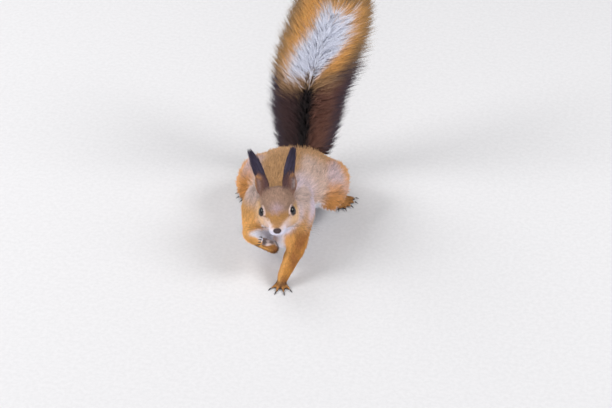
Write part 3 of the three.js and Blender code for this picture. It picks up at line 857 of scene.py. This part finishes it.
def tail_colour(p, across, back=0.0):
    """The tail's hair at these places: dark brown below, painted lit on the left and shaded on the right, then tan,
    then white edged in orange and dark brown.

    across is the share of the half width, to the squirrel's left above 0. back is 1 on the tail's rear side.
    """
    z = p[:, 2] / MM
    edge = np.abs(across)
    # Painted light on the left side of the dark brown and painted shade on the right
    dark = mix(TAIL_SHADED_RIGHT, TAIL_LIT_LEFT, smooth(-0.15, 0.25, across))
    dark = mix(TAIL_CORE, dark, smooth(0.06, 0.34, edge))
    dark = mix(dark, TAIL_BLUE, smooth(0.66, 0.88, edge))
    # The white runs from the squirrel's right to its left on the way up, and the orange closes over it at the tip
    middle_of = -0.20 + 0.30 * smooth(124, 172, z)
    rim = np.abs(across - middle_of) / (0.43 + 0.10 * bump(z - 156, 16))
    rim = np.maximum(rim, 0.8 + 0.5 * smooth(182, 206, z + 10 * across))
    light = mix(TAIL_WHITE, TAIL_ORANGE, smooth(0.82, 1.08, rim))
    light = mix(light, TAIL_FRINGE, np.maximum(smooth(0.70, 0.92, edge), smooth(194, 212, z + 10 * across)))
    light = mix(light, TAIL_ORANGE * 0.8, 0.75 * np.asarray(back))
    rise = z - 8 * smooth(0.0, 0.35, across)
    pale = mix(TAIL_TAN, light, smooth(115, 127, rise))
    pale = mix(pale, TAIL_BLUE, 0.95 * smooth(0.50, 0.66, across) * bump(z - 127, 12))
    return mix(dark, pale, smooth(98, 109, rise - 12 * smooth(0.62, 0.85, edge) - 7 * bump(across, 0.12)))


# ------------------------------ tufts and strands

TUFT_FACES = np.array([[0, 1, 3], [0, 3, 2], [1, 4, 3], [3, 4, 2], [0, 2, 1], [1, 2, 4]])
STRAND_FACES = np.array([
    [0, 1, 3], [0, 3, 2], [0, 2, 1], [1, 4, 6], [1, 6, 3], [3, 6, 5], [3, 5, 2], [2, 5, 4], [2, 4, 1],
    [4, 7, 6], [6, 7, 5], [4, 5, 7]])
# The size of each tuft's place on the bake map
PATCH = 0.003
# How far a hair is shaded as the coat around it, rather than by its own shape
SOFTNESS = 0.62
# Hairs shade each other, so each is paler than the coat looks
PALER, MOST_PALE, LEAST_PALE = 1.34, 0.92, 0.002
# The skin shows between the hairs, and is painted darker than they are, as shade in the gaps of the coat
SKIN_SHADE = 0.9
# A tuft's shades at its root, its left and right edges, its ridge and its tip: painted shade at the root, deep in the
# coat, and painted light on the ridge and the tip
TUFT_PAINTED_SHADING = np.array([0.62, 0.95, 0.95, 1.05, 1.22])
# Where along a strand its two rings of corners lie, and their width beside the strand's
KNOTS, KNOT_WIDTHS = (0.36, 0.72), (1.0, 0.7)


def ring(at, ahead, up, width):
    """The left, right and ridge corners of a tuft where it is width across."""
    side = unit(np.cross(up, ahead))
    rise = np.cross(ahead, side)
    half = side * width[:, None] / 2
    return [at - half, at + half, at + rise * width[:, None] * 0.3]


def hair_piece(name, corners, colours, soft, faces, uv, material, slot, *replaced):
    """Joins hairs that have corners (hair, corner, xyz) and colours alike into one piece, with its bake map.

    soft is the coat's own normal at each hair, which shades it as part of the form it lies on.
    """
    count, each = corners.shape[:2]
    corners = corners.copy()
    corners[..., 2] = np.maximum(corners[..., 2], 0.05 * MM)
    tri = (faces[None] + (np.arange(count) * each)[:, None, None]).reshape(-1, 3)
    me = make_mesh(name, corners.reshape(-1, 3), tri)
    bright = colours * PALER
    bright = bright / np.maximum(bright.max(-1, keepdims=True) / MOST_PALE, 1)
    write_marks(me, np.maximum(bright, LEAST_PALE).reshape(-1, 3))
    reach = np.linalg.norm(corners - corners[:, :1], axis=2)
    reach = reach / np.maximum(reach.max(1), 1e-9)[:, None]
    across = np.zeros(each)
    across[1:-1:3], across[2:-1:3] = -0.5, 0.5
    patch = np.stack([np.broadcast_to(across, reach.shape), reach - 0.5], 2) * PATCH
    place = (np.clip(uv, PATCH, 1 - PATCH)[:, None] + patch).reshape(-1, 2)
    layer = me.uv_layers.new(name="OFBake")
    layer.data.foreach_set("uv", place[tri.ravel()].astype(np.float32).ravel())
    make_object(name, me, material, slot, *replaced)
    own = corner_normals(corners.reshape(-1, 3), tri)
    soft = np.repeat(soft, each, axis=0)
    me.normals_split_custom_set_from_vertices(unit(soft * SOFTNESS + own * (1 - SOFTNESS)))


def short_tufts(root, n, flow, length, width, lift):
    """Corners of tufts that leave the skin at the lift angle and bend back along it."""
    def way(angle):
        return flow * np.cos(angle)[:, None] + n * np.sin(angle)[:, None]

    base = root - n * 0.15 * MM
    bend = root + way(lift + 0.18) * (length * 0.42)[:, None]
    tip = bend + way(lift - 0.16) * (length * 0.58)[:, None]
    left, right, ridge = ring(bend, unit(tip - base), n, width)
    return np.stack([base, left, right, ridge, tip], 1)


def strands(root, bend, tip, up, width):
    """Corners of long hairs that curve from root to tip round a bend point."""
    def at(u):
        return root * (1 - u) ** 2 + bend * 2 * u * (1 - u) + tip * u ** 2

    def ahead(u):
        return unit((bend - root) * (1 - u) + (tip - bend) * u)

    low, high = (ring(at(u), ahead(u), up, width * k) for u, k in zip(KNOTS, KNOT_WIDTHS))
    return np.stack([root, *low, *high, tip], 1)


def spun(up, ahead, angle):
    """up turned by angle about ahead."""
    up = square_to(ahead, up)
    return up * np.cos(angle)[:, None] + np.cross(ahead, up) * np.sin(angle)[:, None]


def gathered(tip, each, pull):
    """Tips drawn together into locks of about that many hairs, and the hair that leads each lock."""
    lead = rng.choice(len(tip), max(len(tip) // each, 1), replace=False)
    tree = tree_of(tip[lead])
    leader = lead[[tree.find(p)[1] for p in tip]]
    return tip + (tip[leader] - tip) * pull, leader


def uneven(leader, own, lock):
    """Random unevenness of each hair by itself, and of each lock as one."""
    return own * rng.normal(0, 1, len(leader)) + lock * rng.normal(0, 1, len(leader))[leader]


def unwrapped(v, tri):
    """An unwrap of part of the skin by its own shape: a place for each corner of each triangle."""
    used, local = np.unique(tri, return_inverse=True)
    me = make_mesh("unwrap", v[used], local.reshape(-1, 3))
    me.uv_layers.new(name="unwrap")
    obj = new_object("unwrap", me)
    bpy.ops.object.select_all(action="DESELECT")
    obj.select_set(True)
    bpy.context.view_layer.objects.active = obj
    bpy.ops.object.mode_set(mode="EDIT")
    bpy.ops.mesh.select_all(action="SELECT")
    bpy.ops.uv.smart_project(angle_limit=math.radians(75), island_margin=0.004)
    bpy.ops.object.mode_set(mode="OBJECT")
    uv = np.empty(len(me.loops) * 2, np.float32)
    obj.data.uv_layers[0].data.foreach_get("uv", uv)
    bpy.data.objects.remove(obj)
    return uv.reshape(-1, 3, 2)


def coat_groups(node):
    """The coat's pieces, each with the skin's places that it grows from."""
    groups = {}
    for side in SIDES:
        for part, members in (
            ("ear", ("ear",)), ("haunch", ("thigh",)), ("hind_leg", ("shank", "hind_foot")),
            ("foreleg", ("upper_arm", "forearm", "hand")),
        ):
            groups[f"coat_{part}_{side}"] = np.isin(node, [f"{m}_{side}" for m in members])
    for part in ("trunk", "neck", "head"):
        groups["coat_" + part] = node == part
    return groups


# The share of tufts that stand loose, and how much further they lift, in radians
LOOSE_TUFTS, LOOSE_LIFT = 0.05, 0.22
# Of how many tufts or hairs a lock is made, on the body, the tail and the ears
LOCK, TAIL_LOCK, EAR_LOCK = 8, 11, 7


def bare_places(v, n):
    """The places where no tuft grows: the eyes, the nose and the soles."""
    bare = np.linalg.norm(v - middle("nose"), axis=1) < 3.4 * MM
    bare |= (v[:, 2] < 0.9 * MM) & (n[:, 2] < -0.3)
    for side in SIDES:
        far, share = eye_place(in_head(v), side)
        bare |= (share < 1.10) & (far < 8.5)
    return bare


def grow_coat(skin, material):
    """Short tufts all over the skin but the tail, one piece to each group of regions."""
    v, n, tri, flow, share, node = (skin[k] for k in ("v", "n", "tri", "flow", "share", "node"))
    area, bare = areas(v, tri), bare_places(v, n)
    # Shorter and finer towards the nose, and shorter on the rump
    face = 1 - share[:, REGIONS.index("head")] * (0.62 * smooth(0, -14, in_head(v)[:, 1]) + 0.15)
    rump = share[:, REGIONS.index("trunk")] * smooth(26, 46, v[:, 1] / MM)
    length = coat_of(share, "length") * face * (1 - 0.3 * rump) * MM
    width = coat_of(share, "width") * (0.4 + 0.6 * face) * MM
    depth = coat_of(share, "depth") * face * MM
    thick = coat_of(share, "tufts") / face ** 0.8

    for name, inside in coat_groups(node).items():
        mine = inside[tri].sum(1) >= 2
        faces, uv = tri[mine], unwrapped(v, tri[mine])
        weight = area[mine] * thick[faces].mean(1) * ~bare[faces].any(1)
        count = int(weight.sum() / MM ** 2)
        face_of, w = spread(weight, count)

        def at(values):
            return blend_at(values, faces, face_of, w)

        root, normal = at(v), unit(at(n))
        way = at(flow)
        wave = wander(root, 3.1)[:, None] * 0.22 + rng.normal(0, 0.17, (count, 1))
        way = square_to(normal, way + np.cross(normal, way) * wave)
        size = at(length) * rng.uniform(0.72, 1.2, count)
        lift = np.arcsin(np.clip(at(depth) / at(length), 0, 0.7)) + rng.normal(0, 0.07, count)
        loose = rng.random(count) < LOOSE_TUFTS
        lift = lift + np.where(loose, LOOSE_LIFT, 0)
        corners = short_tufts(root, normal, way, size, at(width) * rng.uniform(0.7, 1.25, count), lift)
        # Longer tufts gather more, and the middle of a tuft follows its tip part of the way
        pull = np.clip(at(length) / MM * 0.055, 0.05, 0.5) * ~loose
        tip, leader = gathered(corners[:, 4], LOCK, pull[:, None])
        corners[:, 1:4] += (tip - corners[:, 4])[:, None] * 0.35
        corners[:, 4] = tip
        colour = markings(root + way * size[:, None] * 0.5, normal, at(share))
        colour = colour * (1 + uneven(leader, 0.10, 0.08) + 0.06 * wander(root, 2.3))[:, None]
        uv_root = np.einsum("nk,nkc->nc", w, uv[face_of])
        # Painted shade at each tuft's root and painted light on its ridge and tip
        colours = colour[:, None] * TUFT_PAINTED_SHADING[:, None]
        hair_piece(name, corners, colours, normal, TUFT_FACES, uv_root, material, "coat")


# ------------------------------ the tail's hair

TAIL_HAIRS = 42000
# The share of hairs that leave the core any way round, and how far the rest spread about its two sides
ANY_WAY, SIDE_SPREAD = 0.36, 0.56
# The share of loose hairs, and how far they and the rest reach beside the solids' half width
LOOSE_HAIRS, LOOSE_REACH, REACH = 0.11, (0.98, 1.20), 1.08
# On the left edge they reach further by this share, near this height, over this much of it, in mm
FURTHER, LOOSE_HEIGHT, LOOSE_SPAN = 0.12, 148, 26
# Each piece of the tail's hair, and the stretch of the centre line that it grows from
TAIL_PIECES = (("tail_hair_base", 0, 0.36), ("tail_hair_middle", 0.36, 0.60), ("tail_hair_tip", 0.60, 1))


def tail_place(p):
    """The share of the tail's half width at these places, and whether each is on its rear side."""
    tree = tree_of(tail_line)
    near = np.array([tree.find(q)[1] for q in p])
    off = p - tail_line[near]
    half = np.maximum(tail_room[near, 0], 12 * MM)
    return (off * tail_side[near]).sum(1) / half, smooth(-2, 6, (off * tail_back[near]).sum(1) / MM)


def grow_tail(material):
    """Long hair that leaves the tail's core to both sides and leans towards its tip."""
    count = TAIL_HAIRS
    t_tip = 0.02 + 0.98 * rng.random(count) ** 0.9
    # Most hair lies to the two sides, the rest any way round the core
    turn = np.where(rng.random(count) < ANY_WAY, rng.uniform(0, 2 * np.pi, count),
                    rng.normal(0, SIDE_SPREAD, count) + np.pi * rng.integers(0, 2, count))
    reach = np.sqrt(rng.uniform(0.12, 1.0, count))
    loose = rng.random(count) < LOOSE_HAIRS
    height = along_tail(t_tip, tail_line)[:, 2] / MM
    further = FURTHER * smooth(0.3, 0.9, np.cos(turn)) * bump(height - LOOSE_HEIGHT, LOOSE_SPAN)
    reach = np.where(loose, rng.uniform(*LOOSE_REACH, count) + further, reach * REACH)
    size = along_tail(t_tip, tail_room)
    x, y = size[:, 0] * np.cos(turn) * reach, size[:, 1] * np.sin(turn) * reach
    total = tail_step * (len(tail_line) - 1)
    lean = (0.30 * np.hypot(x, y) + 5 * MM + 7 * MM * rng.random(count)) / total
    t_root = np.clip(t_tip - lean, 0.02, CORE_END - 0.02 * rng.random(count))
    side, back, ahead = (along_tail(t_root, k) for k in (tail_side, tail_back, tail_ahead))
    out = unit(side * np.cos(turn)[:, None] + back * (np.sin(turn) * 0.8)[:, None])
    root = along_tail(t_root, tail_line) + out * (core_radius(t_root) * 0.8)[:, None]
    tip = (along_tail(t_tip, tail_line) + along_tail(t_tip, tail_side) * x[:, None]
           + along_tail(t_tip, tail_back) * y[:, None] + rng.normal(0, 1.0 * MM, (count, 3)))
    tip, leader = gathered(tip, TAIL_LOCK, np.where(loose, 0.1, rng.uniform(0.35, 0.8, count))[:, None])
    span = np.linalg.norm(tip - root, axis=1)
    bend = root + (out * 0.46 + unit(ahead) * 0.10) * span[:, None]
    facing = np.where(np.sin(turn) < 0, -1.0, 1.0)[:, None] * back
    up = spun(facing, unit(tip - root), rng.uniform(-0.7, 0.7, count))
    soft = unit(side * (x / size[:, 0] ** 2)[:, None] + back * (y / size[:, 1] ** 2)[:, None] + facing * 20
                + np.array([0, 0, 18.0]))
    corners = strands(root, bend, tip, up, np.where(loose, 0.35, rng.uniform(0.45, 0.80, count)) * MM)

    flat = corners.reshape(-1, 3)
    across, rear = tail_place(flat)
    blur = np.repeat(uneven(leader, 1, 1), corners.shape[1])
    colours = tail_colour(flat + blur[:, None] * [0, 0, 3.2 * MM], across + 0.035 * blur, rear)
    colours = colours.reshape(corners.shape) * (1 + uneven(leader, 0.10, 0.07)[:, None, None])

    for name, low, high in TAIL_PIECES:
        mine = (t_root >= low) & (t_root < high)
        share = (t_root[mine] - low) / (min(high, CORE_END) - low)
        uv = np.stack([(turn[mine] / (2 * np.pi)) % 1, np.clip(share, 0, 1)], 1)
        hair_piece(name, corners[mine], colours[mine], soft[mine], STRAND_FACES, uv, material, "tail_coat")


def core_radius(t):
    return (5.2 - 2.6 * np.clip(t / CORE_END, 0, 1)) * MM


# ------------------------------ ear tufts and whiskers


# Half the width and half the depth of an ear's lock at its foot, in mm
LOCK_HALF = (5.2, 3.0)


def grow_ear_tufts(skin, material, count=1100):
    """Long hair from the top and the inner edge of each ear, gathered into an upright lock."""
    v, tri = skin["v"], skin["tri"]
    for side in SIDES:
        name, ear = "ear_tuft_" + side, "ear_" + side
        lock, _ = node_arrays(name)
        mid = lock.mean(0)
        axis = unit(mid - middle(ear))
        inwards = square_to(axis, mirrored(np.array([-1, 0, 0]), side) @ HEAD)
        deep = np.cross(axis, inwards)
        reach = (lock - mid) @ axis
        foot, top = (lock[np.abs(reach - end) < 5 * MM].mean(0) for end in (reach.min(), reach.max()))
        mine = tri[(skin["node"][tri] == ear).all(1)]
        centre = v[mine].mean(1)
        height = (centre - mid) @ axis
        share = (height - height.min()) / (height.max() - height.min())
        inner = smooth(-4, 4, ((centre - mid) @ inwards) / MM)
        area = areas(v, mine)
        face, w = spread(area * smooth(0.66 - 0.36 * inner, 1.0, share) + area.mean() * 1e-3, count)
        root = blend_at(v, mine, face, w)
        up_to = np.clip(0.30 + 0.90 * rng.random(count) ** 0.9, 0, 0.50 + 0.75 * share[face])
        narrow = 1 - 0.30 * up_to
        offset = (root - mid) @ inwards
        loose = rng.random(count) < 0.10
        a = np.clip((offset - offset.mean()) / (5 * MM), -1, 1) * 0.45 + rng.uniform(-0.6, 0.6, count) * (1 + loose)
        b = rng.normal(0, 0.5, count)
        tip = (foot + (top - foot) * up_to[:, None] + inwards * (a * narrow * LOCK_HALF[0] * MM)[:, None]
               + deep * (np.clip(b, -1, 1) * narrow * LOCK_HALF[1] * MM)[:, None])
        tip, leader = gathered(tip, EAR_LOCK, 0.35)
        bend = (root + tip) / 2 + axis * 1.0 * MM + inwards * (a * 1.2 * MM)[:, None]
        up = spun(np.broadcast_to(-head_y, root.shape), unit(tip - root), rng.uniform(-1.5, 1.5, count))
        corners = strands(root, bend, tip, up, rng.uniform(0.35, 0.65, count) * MM)
        along = np.repeat([0, *KNOTS, 1], [1, 3, 3, 1])
        grain = np.clip(1 + uneven(leader, 0.16, 0.20), 0.4, 1.8)
        colour = mix(TUFT_ROOT, TUFT, smooth(0.0, 0.4, along)) * grain[:, None, None]
        uv = np.stack([np.clip(a * 0.4 + 0.5, 0, 1), share[face]], 1)
        soft = unit(tip - mid - axis * ((tip - mid) @ axis)[:, None] - head_y * 2 * MM)
        hair_piece("ear_tuft_hair_" + side, corners, colour, soft, STRAND_FACES, uv, material, "tuft_coat", name)


# The front whisker of each row, in the head's frame, and its length
WHISKER_ROWS = ((4.6, -18.4, -8.2, 34), (5.4, -16.8, -9.6, 40), (6.0, -15.0, -8.4, 42), (6.6, -13.4, -10.4, 38))
WHISKER = rgb(38, 32, 34)


def grow_whiskers(skin, material):
    """Four whiskers to a row, each further back, lower and steeper than the last."""
    tree = tree_of(skin["v"])
    roots, tips, bends, ups = [], [], [], []
    for sign in (1, -1):
        for row, (x, y, z, length) in enumerate(WHISKER_ROWS):
            for k in range(4):
                at = from_head([sign * (x + 0.3 * k), y + 1.1 * k, z - 1.2 * k + 1.6])
                root = np.array(tree.find(at)[0])
                way = [sign * (1.0 + 0.12 * row), -0.35 + 0.22 * k + 0.15 * row, 0.28 - 0.22 * k]
                way = unit(np.array(way) @ HEAD)
                long = length * MM * (0.8 + 0.08 * k)
                roots.append(root)
                tips.append(root + way * long + head_z * -0.16 * long)
                bends.append(root + way * long * 0.5 + head_z * 0.05 * long)
                ups.append(head_z)
    roots, bends, tips, ups = (np.array(k) for k in (roots, bends, tips, ups))
    corners = strands(roots, bends, tips, ups, np.full(len(roots), 0.20 * MM))
    colours = np.broadcast_to(WHISKER, corners.shape)
    uv = np.stack([(np.arange(len(roots)) + 0.5) / len(roots), np.full(len(roots), 0.5)], 1)
    hair_piece("whiskers", corners, colours, ups, STRAND_FACES, uv, material, "tuft_coat")


# ------------------------------ eyes, nose and claws


def circle(count):
    return np.linspace(0, 2 * np.pi, count, endpoint=False)


def ring_faces(rows, around, closed=False):
    """Triangles between neighbouring rings of corners, and from the last ring to the first if closed."""
    i, j = np.meshgrid(np.arange(rows if closed else rows - 1), np.arange(around), indexing="ij")
    a, b = i * around + j, i * around + (j + 1) % around
    c, d = (a + around) % (rows * around), (b + around) % (rows * around)
    return np.concatenate([np.stack([a, c, d], 2), np.stack([a, d, b], 2)]).reshape(-1, 3)


def outward(v, tri):
    """The triangles, turned round if they face inwards."""
    volume = np.einsum("ij,ij->i", v[tri[:, 0]], np.cross(v[tri[:, 1]], v[tri[:, 2]])).sum()
    return tri if volume > 0 else tri[:, ::-1]


def capped(rings, first, last):
    """A closed mesh from rings of corners and the points that close its two ends."""
    rows, around = rings.shape[:2]
    v = np.concatenate([rings.reshape(-1, 3), [first, last]])
    j = np.arange(around)
    k, tip = (j + 1) % around, np.full(around, rows * around)
    low = (rows - 1) * around
    caps = [np.stack([tip, j, k], 1), np.stack([tip + 1, low + k, low + j], 1)]
    return v, outward(v, np.concatenate([ring_faces(rows, around), *caps]))


def globe(rows, around):
    """A closed unit sphere, its poles along Z."""
    down, turn = np.linspace(0, np.pi, rows + 1)[1:-1, None], circle(around)
    rings = np.stack([np.sin(down) * np.cos(turn), np.sin(down) * np.sin(turn), np.cos(down) + 0 * turn], 2)
    return capped(rings, [0, 0, 1], [0, 0, -1])


def make_eyes(material):
    v, tri = globe(28, 48)
    axes = np.stack([EYE_LONG, EYE_HIGH, GAZE])
    radius = eye_radius / MM
    cornea = 0.35 * smooth(0.55, 1.0, v[:, 2])
    local = (v * (radius + cornea)[:, None]) @ axes
    for side in SIDES:
        name, faces = "eyeball_" + side, tri if side == "left" else tri[:, ::-1]
        make_object(name, make_mesh(name, at_eye(local, side), faces), material, "eye_gloss", "eye_" + side)


def make_lids(material):
    """A soft rim round each eye, along the edge of the lids."""
    turn, section = circle(48), circle(10)[:, None]
    for side in SIDES:
        centre = lid_point(turn, side, eye_radius / MM + 0.10)
        out = unit(centre - eyes[side])[:, None]
        ahead = unit(np.roll(centre, -1, 0) - np.roll(centre, 1, 0))[:, None]
        rim = out * np.cos(section) * 1.1 + np.cross(ahead, out) * np.sin(section) * 1.3
        v = (centre[:, None] + LID_THICK * rim).reshape(-1, 3)
        tri = outward(v, ring_faces(len(turn), len(section), closed=True))
        make_object("eyelid_" + side, make_mesh("eyelid_" + side, v, tri), material, "nose_skin")


# Half the nose pad's width, length and height, in mm
NOSE_HALF = (3.9, 2.7, 2.9)


def make_nose(material):
    """A pad that narrows downwards, with a cleft and two slanting nostrils."""
    v, tri = globe(40, 56)
    x, y, z = v.T
    shape = v * NOSE_HALF
    shape[:, 0] *= 1 - 0.28 * smooth(0.1, -1.0, z)
    dent = 0.45 * bump(x, 0.13) * smooth(0.5, -0.2, z) * smooth(0, -0.4, y)
    for sign in (1, -1):
        aside = sign * x - 0.5
        dent += 0.95 * bump(aside, 0.17) * bump(z + 0.12 + 0.30 * aside, 0.16) * smooth(0.1, -0.5, y)
    shape = shape - v * dent[:, None]
    place = from_head(in_head(middle("nose")) + shape)
    make_object("nose_pad", make_mesh("nose_pad", place, tri), material, "nose_skin", "nose")


def make_claws(material):
    """All the claws as packed, rounded once."""
    names = [n for n in NODES if "_claw_" in n]
    v, tri = joined([node_arrays(n) for n in names])
    source = new_object("claws", make_mesh("claws", v, tri))
    rounder = source.modifiers.new("rounder", "SUBSURF")
    rounder.levels = 1
    me = bpy.data.meshes.new_from_object(source.evaluated_get(bpy.context.evaluated_depsgraph_get()))
    bpy.data.objects.remove(source)
    me.name = "claws"
    make_object("claws", me, material, "claw_horn", *names)


# ------------------------------ the whole


def make_skin(material):
    """One skin round all the flesh, inside the solids by the coat's depth, and what the coat needs of it."""
    solids = []
    for name in FLESH + ("eye_left", "eye_right"):
        v, tri = node_arrays(name)
        grow = closing(v, region_of(name))
        solids.append((v + corner_normals(v, tri) * grow[:, None] * MM, tri))
    v, tri = voxel_mesh(*joined(solids + [tail_core()]))
    edges = edges_of(tri)
    node = nearest_node(v)
    region = np.array([region_of(k) for k in node])
    share = np.stack([region == name for name in REGIONS], 1).astype(float)
    share = relax(share, edges, SHARE_STEPS)
    share = share / share.sum(1, keepdims=True)
    close = np.zeros(len(v))
    for name in REGIONS[:-1]:
        close[region == name] = closing(v[region == name], name)
    close = relax(close[:, None], edges, 6)[:, 0] * MM
    even = coat_of(share, "even")
    v = relax(v, edges, SKIN_STEPS, even)
    v = relax(v, edges, 3, 0.5)
    v = relax(v, edges, SEAM_STEPS, seams(share, edges))
    depth = coat_of(share, "depth") * MM
    muzzle = share[:, REGIONS.index("head")] * smooth(0, -14, in_head(v)[:, 1])
    for _ in range(SINK_STEPS):
        n = unit(relax(corner_normals(v, tri), edges, 2))
        v = v - n * ((depth * (1 - 0.55 * muzzle) + close) / SINK_STEPS)[:, None]
        v = relax(v, edges, 2, 0.5 * even)
    v[:, 2] = np.maximum(v[:, 2], 0)
    v = sculpt_face(v, corner_normals(v, tri))
    n = unit(relax(corner_normals(v, tri), edges, 2))
    skin = dict(v=v, n=n, tri=tri, share=share, node=node, flow=flow_field(v, n, node, edges))

    me = make_mesh("skin", v, tri)
    write_marks(me, markings(v, n, share) * SKIN_SHADE)
    make_object("skin", me, material, "coat", *FLESH, *TAIL)
    return skin


def tail_core():
    """A tube along the tail's centre line, which its hair grows from."""
    keep = np.arange(len(tail_line)) <= CORE_END * (len(tail_line) - 1)
    line, turn = tail_line[keep][:, None], circle(CORE_SIDES)[:, None]
    out = tail_side[keep][:, None] * np.cos(turn) + tail_back[keep][:, None] * np.sin(turn)
    radius = core_radius(np.linspace(0, CORE_END, len(line)))[:, None, None]
    return capped(line + radius * out, line[0, 0], line[-1, 0])


make_stage()
fur = marked_material("fur", 0.72, 900, 0.14)
long_fur = marked_material("long_fur", 0.60, 1500, 0.16, specular=0.35)
hide = marked_material("hide", 0.85, 700, 0.18, bump=0.25)
bare_skin = plain_material("bare_skin", rgb(62, 44, 46), 0.55, 1400, 0.25, bump=0.12)
horn = plain_material("horn", rgb(44, 34, 34), 0.38, 900, 0.30, bump=0.05)
gloss = plain_material("gloss", rgb(5, 4, 6), 0.03, 300, 0.20, specular=0.54)

skin = make_skin(hide)
grow_coat(skin, fur)
grow_tail(long_fur)
grow_ear_tufts(skin, long_fur)
grow_whiskers(skin, long_fur)
make_eyes(gloss)
make_lids(bare_skin)
make_nose(bare_skin)
make_claws(horn)
